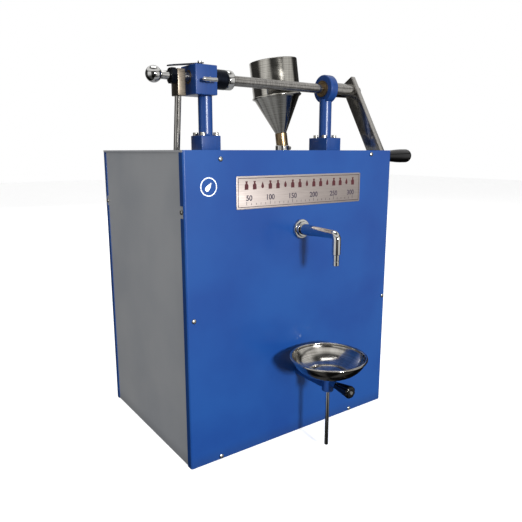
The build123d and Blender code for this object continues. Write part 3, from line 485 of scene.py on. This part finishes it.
def thickenFaces(bm, faces, depth):
    # raises flat faces into a thin solid
    made = bmesh.ops.extrude_face_region(bm, geom=faces)["geom"]
    verts = [g for g in made if isinstance(g, bmesh.types.BMVert)]
    bmesh.ops.translate(bm, vec=(0, 0, depth), verts=verts)
    return verts


def flatOutline(bm, points, depth):
    verts = [bm.verts.new((x, y, 0)) for x, y in points]
    return verts + thickenFaces(bm, [bm.faces.new(verts)], depth)


def outlineRing(bm, faces, line, depth):
    # keeps only a line's width inside the edge of a flat shape, and thickens it
    bmesh.ops.inset_region(bm, faces=faces, thickness=line, use_boundary=True, use_even_offset=True)
    bmesh.ops.delete(bm, geom=faces, context="FACES_ONLY")
    thickenFaces(bm, bm.faces[:], depth)


def finishPrint(name, bm, ink, place):
    # print is made flat and then laid on its surface
    bmesh.ops.transform(bm, matrix=place, verts=bm.verts[:])
    finishPiece(name, bm, ink, "frame")


def makePlate(s, face, wide, tall, deep):
    bm = bmesh.new()
    boxInto(bm, (wide, tall, deep))
    uprights = [e for e in bm.edges if abs(e.verts[0].co.z - e.verts[1].co.z) > deep / 2]
    bevelEdges(bm, uprights, s["corner"], 6)
    rim = [e for e in bm.edges if all(v.co.z > 0 for v in e.verts)]
    bevelEdges(bm, rim, s["edge"], 2)
    bmesh.ops.transform(bm, matrix=face @ Matrix.Translation((0, 0, -deep / 2)), verts=bm.verts[:])
    finishPiece("ratingPlate", bm, nickel, "frame", ["name_plate"])

    bm = bmesh.new()
    bmesh.ops.create_grid(bm, x_segments=1, y_segments=1, size=0.5)
    outer = (wide - 2 * s["borderInset"], tall - 2 * s["borderInset"], 1)
    bmesh.ops.scale(bm, vec=outer, verts=bm.verts[:])
    outlineRing(bm, bm.faces[:], s["borderLine"], s["print"])
    finishPrint("plateBorder", bm, darkInk, face)


def bottleOutline(wide, tall):
    half, neck = wide / 2, wide * 0.2
    right = [(half, 0), (half, tall * 0.55), (neck, tall * 0.75), (neck, tall * 0.86),
             (neck * 1.5, tall * 0.86), (neck * 1.5, tall)]
    return right + [(-x, y) for x, y in reversed(right)]


def dropOutline(wide, tall, steps=28):
    points = []
    for i in range(steps):
        angle = 2 * math.pi * i / steps
        narrow = math.sin(angle / 2) ** 1.3  # comes to a point at the top
        points.append((wide / 2 * math.sin(angle) * narrow, tall / 2 * math.cos(angle)))
    return points[::-1]


def digitsMesh(s, number):
    curve = bpy.data.curves.new("digits", "FONT")
    curve.body = str(number)
    curve.size = s["digitHeight"] * 1.2
    curve.extrude = s["print"] / 2
    curve.offset = s["digitWeight"]
    curve.align_x = "CENTER"
    return meshAndRemove([linkObject("digits", curve)])


def makePlatePrint(s, face, wide, tall):
    def stand(i, count):
        # places along the row, from its left end to its right
        return (i / (count - 1) - 0.5) * wide * s["rowShare"]

    bm = bmesh.new()
    for i in range(s["bottles"]):
        lift = tall * s["bottleRise"]
        if i % 3 == 2:  # two bottles, then a drop
            outline = dropOutline(s["bottleWide"], s["bottleHeight"] * s["dropShare"])
        else:
            outline = bottleOutline(s["bottleWide"], s["bottleHeight"])
            lift -= s["bottleHeight"] / 2
        verts = flatOutline(bm, outline, s["print"])
        bmesh.ops.translate(bm, vec=(stand(i, s["bottles"]), lift, 0), verts=verts)
    finishPrint("platePictograms", bm, redInk, face)

    bm = bmesh.new()
    foot, half = -tall * s["tickFall"], s["tickLine"] / 2
    for i in range(s["marks"]):
        x = stand(i, s["marks"])
        top = foot + s["tick"] * (s["longTick"] if i % 5 == 0 else 1.0)
        flatOutline(bm, [(x - half, foot), (x + half, foot), (x + half, top), (x - half, top)], s["print"])
    bmesh.ops.recalc_face_normals(bm, faces=bm.faces[:])
    last = s["numbers"] - 1
    for i in range(s["numbers"]):
        side = -0.5 if i == 0 else (0.5 if i == last else 0)  # the end numbers stand in from the border
        spot = (stand(i, s["numbers"]) - side * s["digitHeight"], -tall * s["numberFall"], s["print"] / 2)
        made = addMesh(bm, digitsMesh(s, s["numberStep"] * (i + 1)), Matrix.Translation(spot))
        bmesh.ops.remove_doubles(bm, verts=made, dist=1e-6)
    finishPrint("plateScale", bm, greyInk, face)


plateFace, plateWide, plateTall, plateDeep = plateFrame()
makePlate(plateSizes, plateFace, plateWide, plateTall, plateDeep)
makePlatePrint(plateSizes, plateFace, plateWide, plateTall)
print("name plate made")

# emblem: a plain ring with a drop in it, leaning to the right
emblemSizes = {"fromLeft": 38.0 * mm, "fromTop": 49.0 * mm, "radius": 13.0 * mm, "line": 1.6 * mm,
               "drop": 9.5 * mm, "dropTall": 14.5 * mm, "print": 0.12 * mm, "lean": -38}


def makeEmblem(s):
    low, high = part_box("front_panel")
    place = Matrix.Translation((low.x + s["fromLeft"], low.y, high.z - s["fromTop"])) @ onFront
    bm = bmesh.new()
    verts = bmesh.ops.create_circle(bm, cap_ends=True, radius=s["radius"], segments=72)["verts"]
    outlineRing(bm, list({f for v in verts for f in v.link_faces}), s["line"], s["print"])
    flatOutline(bm, dropOutline(s["drop"], s["dropTall"]), s["print"])
    bmesh.ops.recalc_face_normals(bm, faces=bm.faces[:])
    finishPrint("dropEmblem", bm, whiteInk, place @ turned(s["lean"]))


makeEmblem(emblemSizes)
print("emblem made")

# posts: block feet, round columns with a run of paint at the foot, bored head and ring
postSizes = {"footEdge": 1.0 * mm, "foot": 22.0 * mm, "flare": 2.2 * mm, "flareHeight": 3.2 * mm,
             "column": 11.0 * mm, "sunk": 2.0 * mm, "ring": 24.0 * mm, "ringEdge": 1.6 * mm,
             "ringThick": 16.0 * mm, "ringBore": 11.0 * mm, "headEdge": 1.2 * mm, "drillOver": 4.0 * mm,
             "sides": 96}


def columnInto(bm, s, centre, foot, head):
    radius, flare = s["column"], s["flare"]
    outline = [(0.0, foot - s["sunk"]), (radius + flare, foot - s["sunk"]), (radius + flare, foot)]
    for i in range(1, 7):
        angle = math.radians(15 * i)
        rise = s["flareHeight"] * (1 - math.cos(angle))
        outline.append((radius + flare * (1 - math.sin(angle)), foot + rise))
    outline += [(radius, head), (0.0, head)]
    spinInto(bm, outline, Matrix.Translation((centre.x, centre.y, 0)), s["sides"])


def makeLeftPost(s):
    blockLow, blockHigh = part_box("left_bearing_block")
    low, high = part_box("left_post")
    bm = bmesh.new()
    slab(bm, low, Vector((high.x, high.y, low.z + s["foot"])), s["footEdge"])
    columnInto(bm, s, (low + high) / 2, low.z + s["foot"], blockLow.z + s["sunk"])
    finishPiece("leftPostCast", bm, enamel, "frame", ["left_post"])

    bushLow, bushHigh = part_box("left_bush")
    bush = (bushLow + bushHigh) / 2
    block = bmesh.new()
    slab(block, blockLow, blockHigh, s["headEdge"], 4)
    drill = bmesh.new()
    reach = blockHigh.x - blockLow.x + 2 * s["drillOver"]
    radius = (bushHigh.z - bushLow.z) / 2
    spinInto(drill, [(0, 0), (radius, 0), (radius, reach), (0, reach)],
             aim((blockLow.x - s["drillOver"], bush.y, bush.z), (1, 0, 0)), s["sides"])
    bm = bmesh.new()
    bm.from_mesh(carve(block, drill))
    finishPiece("leftBearingHead", bm, enamel, "frame", ["left_bearing_block"], 25)


def makeRightPost(s):
    low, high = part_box("right_post")
    centre = (low + high) / 2
    ring, edge, thick, bore = s["ring"], s["ringEdge"], s["ringThick"], s["ringBore"]
    ringHeight = high.z - ring
    bm = bmesh.new()
    slab(bm, low, Vector((high.x, high.y, low.z + s["foot"])), s["footEdge"])
    columnInto(bm, s, centre, low.z + s["foot"], ringHeight - ring * 0.75)
    outline = [(bore, 0.0)] + roundedEdge(ring - edge, edge, edge, -90, 0)
    outline += roundedEdge(ring - edge, thick - edge, edge, 0, 90) + [(bore, thick), (bore, 0.0)]
    spinInto(bm, outline, aim((centre.x - thick / 2, centre.y, ringHeight), (1, 0, 0)), s["sides"])
    finishPiece("rightPostCast", bm, enamel, "frame", ["right_post"])


makeLeftPost(postSizes)
makeRightPost(postSizes)

# cap screws on the feet: round heads with a hexagon socket
boltSizes = {"radius": 4.25 * mm, "head": 5.0 * mm, "edge": 0.5 * mm, "socket": 2.4 * mm, "depth": 2.6 * mm,
             "shank": 2.5 * mm, "below": 3.0 * mm, "turn": 23, "sides": 48}


def makeBolts(s):
    rim = roundedEdge(s["radius"] - s["edge"], s["head"] - s["edge"], s["edge"], 0, 90, 3)
    shank = [(0, -s["below"]), (s["shank"], -s["below"]), (s["shank"], 0), (s["radius"], 0)]
    bm = bmesh.new()
    spinInto(bm, shank + rim + [(0, s["head"])], Matrix.Identity(4), s["sides"])
    reach, depth = s["socket"], s["depth"]
    socket = bmesh.new()
    spinInto(socket, [(0, -depth), (reach, -depth), (reach, depth), (0, depth)],
             Matrix.Translation((0, 0, s["head"])), 6)
    template = carve(bm, socket)
    bolts = bmesh.new()
    for index, (low, high) in enumerate(islandBoxes("post_bolts")):
        place = Matrix.Translation(((low.x + high.x) / 2, (low.y + high.y) / 2, high.z - s["head"]))
        addMesh(bolts, template, place @ turned(s["turn"] * index))
    finishPiece("postCapScrews", bolts, zinc, "frame", ["post_bolts"])


makeBolts(boltSizes)
print("posts made")

# shaft fittings: sleeve, collar, hubs, hexagon nut, lever and lock bar
fittingSizes = {"sleeveEdge": 0.8 * mm, "collarEdge": 3.4 * mm, "hubEdge": 1.4 * mm, "rodEdge": 0.7 * mm,
                "hubBlockEdge": 0.9 * mm}
nutSizes = {"chamfer": 1.1 * mm, "overCorners": 1.03, "faceShare": 0.88, "sides": 72}
leverSizes = {"edge": 1.1 * mm, "tail": 22.0 * mm, "tip": 17.0 * mm, "wide": 30.0 * mm}
lockSizes = {"bar": 3.0 * mm, "proud": 1.0 * mm, "stem": 3.6 * mm, "stemEdge": 0.5 * mm, "sides": 48}


def turnedPiece(name, node, axis, outward, edge, material, body):
    start, direction, length, radius = along(node, axis, outward)
    bm = bmesh.new()
    spinInto(bm, barProfile(radius, length, edge), aim(start, direction), 80)
    finishPiece(name, bm, material, body, [node], 40)


def makeTurnedFittings(s):
    turnedPiece("sleeveTurned", "bearing_sleeve", 0, 1, s["sleeveEdge"], blackened, "frame")
    turnedPiece("collarTurned", "shaft_collar", 0, 1, s["collarEdge"], chrome, "shaft")
    turnedPiece("leverHubTurned", "lever_hub", 0, 1, s["hubEdge"], shaftSteel, "shaft")
    turnedPiece("handleRodTurned", "handle_rod", 0, -1, s["rodEdge"], chrome, "ball_handle")
    turnedPiece("bowlRodTurned", "bowl_rod", 2, 1, s["rodEdge"], chrome, "bowl")


def makeHubNut(s):
    # a hexagonal prism with turned chamfers on both faces
    start, _, length, radius = along("hub_lock_nut", 0, 1)
    prism = bmesh.new()
    bmesh.ops.create_circle(prism, cap_ends=True, radius=radius, segments=6, matrix=turned(30))
    thickenFaces(prism, prism.faces[:], length)
    bmesh.ops.recalc_face_normals(prism, faces=prism.faces[:])
    wide, flat, chamfer = radius * s["overCorners"], radius * s["faceShare"], s["chamfer"]
    outline = [(0.0, 0.0), (flat, 0.0), (wide, chamfer)]
    outline += [(wide, length - chamfer), (flat, length), (0.0, length)]
    lathe = bmesh.new()
    spinInto(lathe, outline, Matrix.Identity(4), s["sides"])
    alongX = Matrix(((0, 0, 1), (1, 0, 0), (0, 1, 0))).to_4x4()  # local X, Y and Z to world Y, Z and X
    bm = bmesh.new()
    addMesh(bm, carve(prism, lathe, "INTERSECT"), Matrix.Translation(start) @ alongX)
    finishPiece("hubNutHex", bm, blackened, "ball_handle", ["hub_lock_nut"], 20)


def makeHubBlock(s):
    bm = bmesh.new()
    slab(bm, *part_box("arm_hub"), s["hubBlockEdge"])
    finishPiece("armHubBlock", bm, bronze, "shaft", ["arm_hub"])


def makeLever(s):
    shaftAxis = middle("main_shaft")
    down = middle("hand_grip") - shaftAxis
    down.x = 0
    low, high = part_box("hand_lever")
    half = s["wide"] / 2
    tail = Vector((0, -half, -s["tail"]))
    tip = Vector((high.x - low.x, half, down.length + s["tip"]))
    bm = bmesh.new()
    slab(bm, tail, tip, s["edge"])
    place = Matrix.Translation((low.x, shaftAxis.y, shaftAxis.z))
    place = place @ Matrix.Rotation(-math.atan2(down.y, down.z), 4, "X")
    bmesh.ops.transform(bm, matrix=place, verts=bm.verts[:])
    finishPiece("leverBar", bm, leverSteel, "shaft", ["hand_lever"])


def makeLockBar(s):
    low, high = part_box("lock_screw")
    centre = (low + high) / 2
    bar, width = s["bar"], high.x - low.x
    domed = [(0.0, 0.0)] + roundedEdge(0.0, bar, bar, -90, 0, 8)[1:]
    domed += roundedEdge(0.0, width - bar, bar, 0, 90, 8)
    stem = barProfile(s["stem"], high.y - low.y - bar - s["proud"], s["stemEdge"])
    bm = bmesh.new()
    spinInto(bm, domed, aim((low.x, low.y + bar + s["proud"], centre.z), (1, 0, 0)), s["sides"])
    spinInto(bm, stem, aim((centre.x, high.y, centre.z), (0, -1, 0)), s["sides"])
    finishPiece("lockTBar", bm, chrome, "lock", ["lock_screw"], 40)


makeTurnedFittings(fittingSizes)
makeHubNut(nutSizes)
makeHubBlock(fittingSizes)
makeLever(leverSizes)
makeLockBar(lockSizes)
print("shaft fittings made")

# clamp knob: tapered moulding with eight rounded flutes and a metal insert in its end
knobSizes = {"root": 5.5 * mm, "end": 9.5 * mm, "footEdge": 0.6 * mm, "round": 3.2 * mm, "dish": 0.7 * mm,
             "flute": 0.13, "flutes": 8, "fluteStart": 1.5 * mm, "fluteRun": 5.0 * mm, "fluteEnd": 2.0 * mm,
             "insert": 2.9 * mm, "insertEdge": 1.0 * mm, "insertSunk": 2.4 * mm, "sides": 160}


def makeKnob(s):
    start, direction, length, _ = along("clamp_knob", 1, -1)
    root, end, foot, insert = s["root"], s["end"], s["footEdge"], s["insert"]
    outline = [(0.0, 0.0), (root - foot, 0.0), (root, foot)]
    for i in range(1, 9):
        t = i / 8
        outline.append((root + (end - root) * t, foot + (length - s["round"] - foot) * t))
    outline += roundedEdge(end - s["round"], length - s["round"], s["round"], 10, 90, 7)
    dish = length - s["dish"]
    outline += [(insert + 0.5 * mm, length), (insert, dish), (0.0, dish)]
    bm = bmesh.new()
    spinInto(bm, outline, Matrix.Identity(4), s["sides"])
    for vert in bm.verts:
        if math.hypot(vert.co.x, vert.co.y) < insert * 1.4:
            continue
        wave = max(0.0, math.cos(s["flutes"] * math.atan2(vert.co.y, vert.co.x)))
        fadeIn = max(0.0, (vert.co.z - s["fluteStart"]) / s["fluteRun"])
        fadeOut = max(0.0, (length - vert.co.z) / s["fluteEnd"])
        shrink = 1 - s["flute"] * wave ** 1.5 * min(1.0, fadeIn, fadeOut)
        vert.co.x *= shrink
        vert.co.y *= shrink
    bmesh.ops.transform(bm, matrix=aim(start, direction), verts=bm.verts[:])
    finishPiece("knobFluted", bm, phenolic, "knob", ["clamp_knob"], 40)

    edge = s["insertEdge"]
    dome = [(0.0, 0.0)] + roundedEdge(insert - edge, 1.6 * edge, edge, -90, 60, 6) + [(0.0, 2.9 * edge)]
    bm = bmesh.new()
    spinInto(bm, dome, aim(start + direction * (length - s["insertSunk"]), direction), 40)
    finishPiece("knobInsert", bm, chrome, "knob")


makeKnob(knobSizes)
print("knob made")

# hopper: spun shell with a rolled bead at the shoulder, leaning a few degrees
hopperSizes = {"lean": 7.0, "heading": 144.5, "radius": 43.0 * mm, "wall": 1.5 * mm, "top": 149.0 * mm,
               "shoulder": 87.0 * mm, "foot": 22.0 * mm, "outlet": 10.0 * mm, "bead": 2.2 * mm,
               "beadSunk": 0.3 * mm, "innerStep": 1.0 * mm, "innerDrop": 2.2 * mm, "sides": 128}


def makeHopper(s):
    radius, wall, shoulder, bead = s["radius"], s["wall"], s["shoulder"], s["bead"]
    inside, rim = radius - wall, s["top"] - wall
    spout = s["outlet"] - wall
    outline = [(spout, s["foot"]), (s["outlet"], s["foot"]), (radius - 1.2 * bead, shoulder - 1.8 * bead)]
    outline += roundedEdge(radius - s["beadSunk"], shoulder, bead, -70, 80, 10)
    outline += [(radius, shoulder + 1.5 * bead), (radius, rim)]
    outline += roundedEdge(radius - wall / 2, s["top"] - wall / 2, wall / 2, 20, 160, 6)
    outline += [(inside, rim), (inside, shoulder + wall)]
    outline += [(inside - s["innerStep"], shoulder - s["innerDrop"]), (spout, s["foot"])]
    place = Matrix.Translation(hopperFoot) @ turned(s["heading"]) @ turned(s["lean"], "Y")
    bm = bmesh.new()
    spinInto(bm, outline, place, s["sides"])
    finishPiece("hopperShell", bm, hopperSteel, "frame", ["hopper"], 40)


makeHopper(hopperSizes)
print("hopper made")

# drip bowl: pressed bowl with a rolled rim and a ring in its floor
bowlSizes = {"rim": 59.0 * mm, "roll": 2.0 * mm, "wall": 1.2 * mm, "floor": 23.5 * mm, "footEdge": 1.5 * mm,
             "footRise": 0.2 * mm, "rimGap": 0.5 * mm, "ring": 0.7 * mm, "ringWide": 1.2 * mm,
             "ringGap": 0.6 * mm, "ringFoot": 2.6 * mm, "sweep": 0.8, "sides": 128}


def bowlCurve(s, endRadius, startHeight, endHeight, steps=22):
    # part of a quarter ellipse, flat at the floor and steep at the rim
    points = []
    floor, sweep = s["floor"], math.pi / 2 * s["sweep"]
    for i in range(steps + 1):
        angle = sweep * (i / steps) ** 0.9
        run = math.sin(angle) / math.sin(sweep)
        rise = (1 - math.cos(angle)) / (1 - math.cos(sweep))
        points.append((floor + (endRadius - floor) * run, startHeight + (endHeight - startHeight) * rise))
    return points


def makeBowl(s):
    low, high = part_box("drip_bowl")
    place = Matrix.Translation(((low.x + high.x) / 2, (low.y + high.y) / 2, low.z))
    floor, wall, roll = s["floor"], s["wall"], s["roll"]
    lip = high.z - low.z - roll
    reach = s["rim"] - roll
    outside = [(0.0, 0.0), (floor - s["footEdge"], 0.0)]
    outside += bowlCurve(s, reach, s["footRise"], lip - roll * 0.6)
    rim = roundedEdge(reach, lip, roll, -60, 200, 14)
    inside = bowlCurve(s, reach - wall - s["rimGap"], wall, lip - wall)[::-1]
    ringOut, ringTop = floor - s["ringGap"], wall + s["ring"]
    ring = [(ringOut, ringTop), (ringOut - s["ringWide"], ringTop)]
    ring += [(floor - s["ringFoot"], wall), (0.0, wall)]
    bm = bmesh.new()
    spinInto(bm, outside + rim + inside + ring, place, s["sides"])
    finishPiece("bowlShell", bm, bowlSteel, "bowl", ["drip_bowl"], 50)


makeBowl(bowlSizes)
print("bowl made")

# spout: round flange nut, tapered pipe with a tight elbow, narrow tip
spoutSizes = {"root": 8.75 * mm, "rootRun": 3.0 * mm, "pipe": 6.35 * mm, "bend": 6.9 * mm,
              "taperEnd": 6.0 * mm, "endEdge": 0.8 * mm, "sides": 48}
flangeSizes = {"radius": 15.0 * mm, "length": 9.0 * mm, "edge": 1.2 * mm, "collar": 11.5 * mm,
               "collarStep": 0.6 * mm, "collarRise": 1.3 * mm, "collarEdge": 0.8 * mm, "sides": 96}
tipSizes = {"radius": 4.75 * mm, "bore": 3.0 * mm, "groove": 0.35 * mm, "edge": 0.6 * mm, "sides": 64}


def pipeInto(bm, stations, segments):
    # joins circles given as (centre, direction, radius) into one closed pipe
    loops = []
    for centre, direction, radius in stations:
        verts = bmesh.ops.create_circle(bm, cap_ends=False, radius=radius, segments=segments)["verts"]
        loops.append(list({e for v in verts for e in v.link_edges}))
        turn = Vector(direction).to_track_quat("Z", "X").to_matrix().to_4x4()
        bmesh.ops.transform(bm, matrix=Matrix.Translation(centre) @ turn, verts=verts)
    for first, second in zip(loops, loops[1:]):
        bmesh.ops.bridge_loops(bm, edges=first + second)
    bmesh.ops.holes_fill(bm, edges=[e for e in bm.edges if e.is_boundary], sides=0)
    bmesh.ops.recalc_face_normals(bm, faces=bm.faces[:])


def makeSpout(s, flange):
    axis, drop = middle("spout_flange"), middle("spout_tip").y
    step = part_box("spout_tip")[1].z
    bendStart = drop + s["bend"]
    outward, down = (0, -1, 0), (0, 0, -1)
    stations = [((axis.x, y, axis.z), outward, radius) for y, radius in (
        (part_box("spout_pipe")[1].y, s["root"]),
        (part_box("spout_flange")[0].y - s["rootRun"], s["root"]),
        (bendStart + s["taperEnd"], s["pipe"]))]
    for i in range(13):
        angle = math.radians(7.5 * i)
        y, z = bendStart - s["bend"] * math.sin(angle), axis.z - s["bend"] * (1 - math.cos(angle))
        stations.append(((axis.x, y, z), (0, -math.cos(angle), -math.sin(angle)), s["pipe"]))
    stations.append(((axis.x, drop, step + s["endEdge"]), down, s["pipe"]))
    stations.append(((axis.x, drop, step), down, s["pipe"] - s["endEdge"]))
    bm = bmesh.new()
    pipeInto(bm, stations, s["sides"])
    finishPiece("spoutPipe", bm, chrome, "frame", ["spout_pipe"], 35)

    length, edge = flange["length"], flange["edge"]
    collar, collarEdge = flange["collar"], flange["collarEdge"]
    profile = [(s["root"], 0.0), (flange["radius"], 0.0), (flange["radius"], length * 0.35)]
    profile += roundedEdge(flange["radius"] - edge, length * 0.45, edge, 0, 90, 5)
    profile += [(collar + flange["collarStep"], length * 0.45 + flange["collarRise"])]
    profile += [(collar, length * 0.8)]
    profile += roundedEdge(collar - collarEdge, length - collarEdge, collarEdge, 0, 90, 4)
    profile += [(s["root"], length), (s["root"], 0.0)]
    bm = bmesh.new()
    spinInto(bm, profile, aim((axis.x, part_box("spout_flange")[1].y, axis.z), outward), flange["sides"])
    finishPiece("spoutFlange", bm, chrome, "frame", ["spout_flange"], 35)


def makeSpoutTip(s):
    low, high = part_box("spout_tip")
    drop = high.z - low.z
    radius, waist, bore = s["radius"], s["radius"] - s["groove"], s["bore"]
    profile = [(bore, 0.0), (radius, 0.0), (radius, drop * 0.5), (waist, drop * 0.53), (waist, drop * 0.6)]
    profile += [(radius, drop * 0.63), (radius, drop - s["edge"]), (radius - s["edge"], drop)]
    profile += [(bore, drop), (bore, 0.0)]
    top = (middle("spout_flange").x, (low.y + high.y) / 2, high.z)
    bm = bmesh.new()
    spinInto(bm, profile, aim(top, (0, 0, -1)), s["sides"])
    finishPiece("spoutTip", bm, chrome, "frame", ["spout_tip"], 35)


makeSpout(spoutSizes, flangeSizes)
makeSpoutTip(tipSizes)
print("spout made")

# hand grip: swelling moulding with a dished nose, and the polished ball on its neck
gripSizes = {"root": 8.6 * mm, "rootEdge": 0.8 * mm, "belly": 12.0 * mm, "nose": 5.0 * mm, "dish": 3.0 * mm,
             "dishEdge": 0.4 * mm, "sides": 96}
ballSizes = {"radius": 12.0 * mm, "seam": 0.3 * mm, "seamFrom": 0.97}


def makeGrip(s):
    start, direction, length, _ = along("hand_grip", 0, 1)
    root, belly, nose = s["root"], s["belly"], s["nose"]
    profile = [(0.0, 0.0), (root - s["rootEdge"], 0.0), (root, s["rootEdge"])]
    for i in range(1, 19):
        t = i / 18
        swell = 0.5 - 0.5 * math.cos(math.pi * min(t / 0.85, 1.0))
        profile.append((root + (belly - root) * swell, s["rootEdge"] + t * (length - belly * 0.75)))
    top = profile[-1][1]
    for i in range(1, 9):
        angle = math.pi / 2 * i / 8
        profile.append((nose + (belly - nose) * math.cos(angle), top + (length - top) * math.sin(angle)))
    dish = nose - s["dishEdge"]
    profile += [(dish, length - s["dishEdge"]), (dish, length - s["dish"]), (0.0, length - s["dish"])]
    bm = bmesh.new()
    spinInto(bm, profile, aim(start, direction), s["sides"])
    finishPiece("handGrip", bm, phenolic, "grip", ["hand_grip"], 50)


def makeBall(s):
    low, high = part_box("ball_knob")
    radius = s["radius"]
    place = aim((low.x + radius, (low.y + high.y) / 2, (low.z + high.z) / 2), (-1, 0, 0))
    bm = bmesh.new()
    bmesh.ops.create_uvsphere(bm, u_segments=64, v_segments=40, radius=radius)
    # a seam where the rod goes in
    inner = [f for f in bm.faces if f.calc_center_median().z < -radius * s["seamFrom"]]
    bmesh.ops.inset_region(bm, faces=inner, thickness=s["seam"])
    bmesh.ops.transform(bm, matrix=place, verts=bm.verts[:])
    finishPiece("ballKnob", bm, chrome, "ball_handle", ["ball_knob"], 50)


makeGrip(gripSizes)
makeBall(ballSizes)
print("grip and ball made")

# camera, pale floor and soft studio light
cameraSizes = {"place": (-0.5264, -0.7800, 0.4579), "pitch": 78.396, "heading": -35.553, "lens": 36.74,
               "sensor": 36.0, "near": 0.02, "far": 60.0}
floorSizes = {"half": 8.0, "segments": 8, "colour": "#f4f4f4", "roughness": 0.7, "glow": 0.6}


def makeCamera(s):
    camera = bpy.data.cameras.new("camera")
    camera.sensor_width = s["sensor"]
    camera.lens = s["lens"]
    camera.clip_start, camera.clip_end = s["near"], s["far"]
    holder = linkObject("camera", camera)
    holder.location = s["place"]
    holder.rotation_euler = (math.radians(s["pitch"]), 0.0, math.radians(s["heading"]))
    bpy.context.scene.camera = holder


def makeFloor(s):
    # a matt white sheet with a little light of its own, so that only soft shade shows on it
    material, _, shader, _ = startMaterial("pale floor", s["colour"], 0.0, s["roughness"])
    shader.inputs["Emission Color"].default_value = (1.0, 1.0, 1.0, 1.0)
    shader.inputs["Emission Strength"].default_value = s["glow"]
    bm = bmesh.new()
    bmesh.ops.create_grid(bm, x_segments=s["segments"], y_segments=s["segments"], size=s["half"])
    mesh = bpy.data.meshes.new("floor")
    bm.to_mesh(mesh)
    bm.free()
    floor = linkObject("floor", mesh)
    floor.data.materials.append(material)
    floor.visible_glossy = False  # polished metal mirrors the dark of the room, not the sheet under it
    floor.visible_diffuse = False


# a row for each lamp: where it hangs, what it points at, its width and height in metres, its watts,
# and whether polished metal mirrors it
lamps = [
    ("key", (-0.25, -3.0, 0.8), (0.0, -0.1, 0.3), 0.34, 0.34, 96, True),
    ("frontFill", (-0.4, -3.4, 1.6), (0.0, -0.1, 0.3), 1.6, 1.0, 24, False),
    ("overhead", (0.1, 0.2, 2.6), (0.0, 0.0, 0.4), 1.4, 1.0, 14, True),
    ("backFill", (0.9, 3.2, 1.7), (0.0, 0.0, 0.3), 1.6, 1.2, 34, False),
    ("leftStrip", (-2.4, -0.2, 1.2), (0.0, 0.0, 0.3), 0.4, 1.6, 8, False),
]


def makeLights(rows):
    for name, place, target, wide, tall, watts, mirrored in rows:
        light = bpy.data.lights.new(name, "AREA")
        light.shape = "RECTANGLE"
        light.size, light.size_y = wide, tall
        light.energy = watts
        holder = linkObject(name, light)
        holder.location = place
        holder.rotation_euler = (Vector(target) - Vector(place)).to_track_quat("-Z", "Y").to_euler()
        holder.visible_camera = False
        holder.visible_glossy = mirrored


roomSizes = {"panels": 3.0, "turn": 4.3, "shade": 0.36}  # bright panels round it, and its soft light


def makeSurroundings(s):
    # an even pale room for the eye and for soft light, and bright and dark panels for polished metal
    world = bpy.data.worlds.new("room")
    world.use_nodes = True
    tree = world.node_tree
    background = tree.nodes["Background"]
    path = addNode(tree, "ShaderNodeLightPath", {}, {})
    direction = addNode(tree, "ShaderNodeTexCoord", {}, {}).outputs["Generated"]
    split = addNode(tree, "ShaderNodeSeparateXYZ", {}, {0: direction})
    around = addNode(tree, "ShaderNodeMath", {"operation": "ARCTAN2"},
                     {0: split.outputs["Y"], 1: split.outputs["X"]})
    panels = addNode(tree, "ShaderNodeMath", {"operation": "MULTIPLY_ADD"},
                     {0: around.outputs[0], 1: s["panels"], 2: s["turn"]})
    swing = addNode(tree, "ShaderNodeMath", {"operation": "SINE"}, {0: panels.outputs[0]}).outputs[0]
    up = split.outputs["Z"]
    # each row fades between two levels as its value rises: value, start, end, level before, level after
    fades = {"band": (swing, -0.2, 0.5, 0.05, 0.85), "wallTop": (up, 0.3, 0.44, 1.0, 0.12),
             "lampFoot": (up, 0.42, 0.55, 0.0, 0.9), "lampTop": (up, 0.75, 0.92, 1.0, 0.1),
             "ground": (up, -0.6, -0.05, 0.08, 1.0)}
    level = {}
    for name, (value, start, end, before, after) in fades.items():
        level[name] = addNode(tree, "ShaderNodeMapRange", {"interpolation_type": "SMOOTHSTEP"},
                              {"Value": value, "From Min": start, "From Max": end,
                               "To Min": before, "To Max": after}).outputs[0]
    steps = [("walls", "MULTIPLY", "band", "wallTop"), ("lamp", "MULTIPLY", "lampFoot", "lampTop"),
             ("sky", "MAXIMUM", "walls", "lamp"), ("mirrored", "MULTIPLY", "sky", "ground")]
    for name, operation, first, second in steps:
        level[name] = addNode(tree, "ShaderNodeMath", {"operation": operation},
                              {0: level[first], 1: level[second]}).outputs[0]
    glossy = addNode(tree, "ShaderNodeMix", {"data_type": "FLOAT"},
                     {0: path.outputs["Is Glossy Ray"], 2: s["shade"], 3: level["mirrored"]})
    seen = addNode(tree, "ShaderNodeMix", {"data_type": "FLOAT"},
                   {0: path.outputs["Is Camera Ray"], 2: glossy.outputs[0], 3: 1.0})
    background.inputs["Color"].default_value = (1.0, 1.0, 1.0, 1.0)
    tree.links.new(seen.outputs[0], background.inputs["Strength"])
    bpy.context.scene.world = world


makeCamera(cameraSizes)
makeFloor(floorSizes)
makeLights(lamps)
makeSurroundings(roomSizes)
bpy.context.scene.view_settings.view_transform = "Standard"
print("camera, floor and light made")
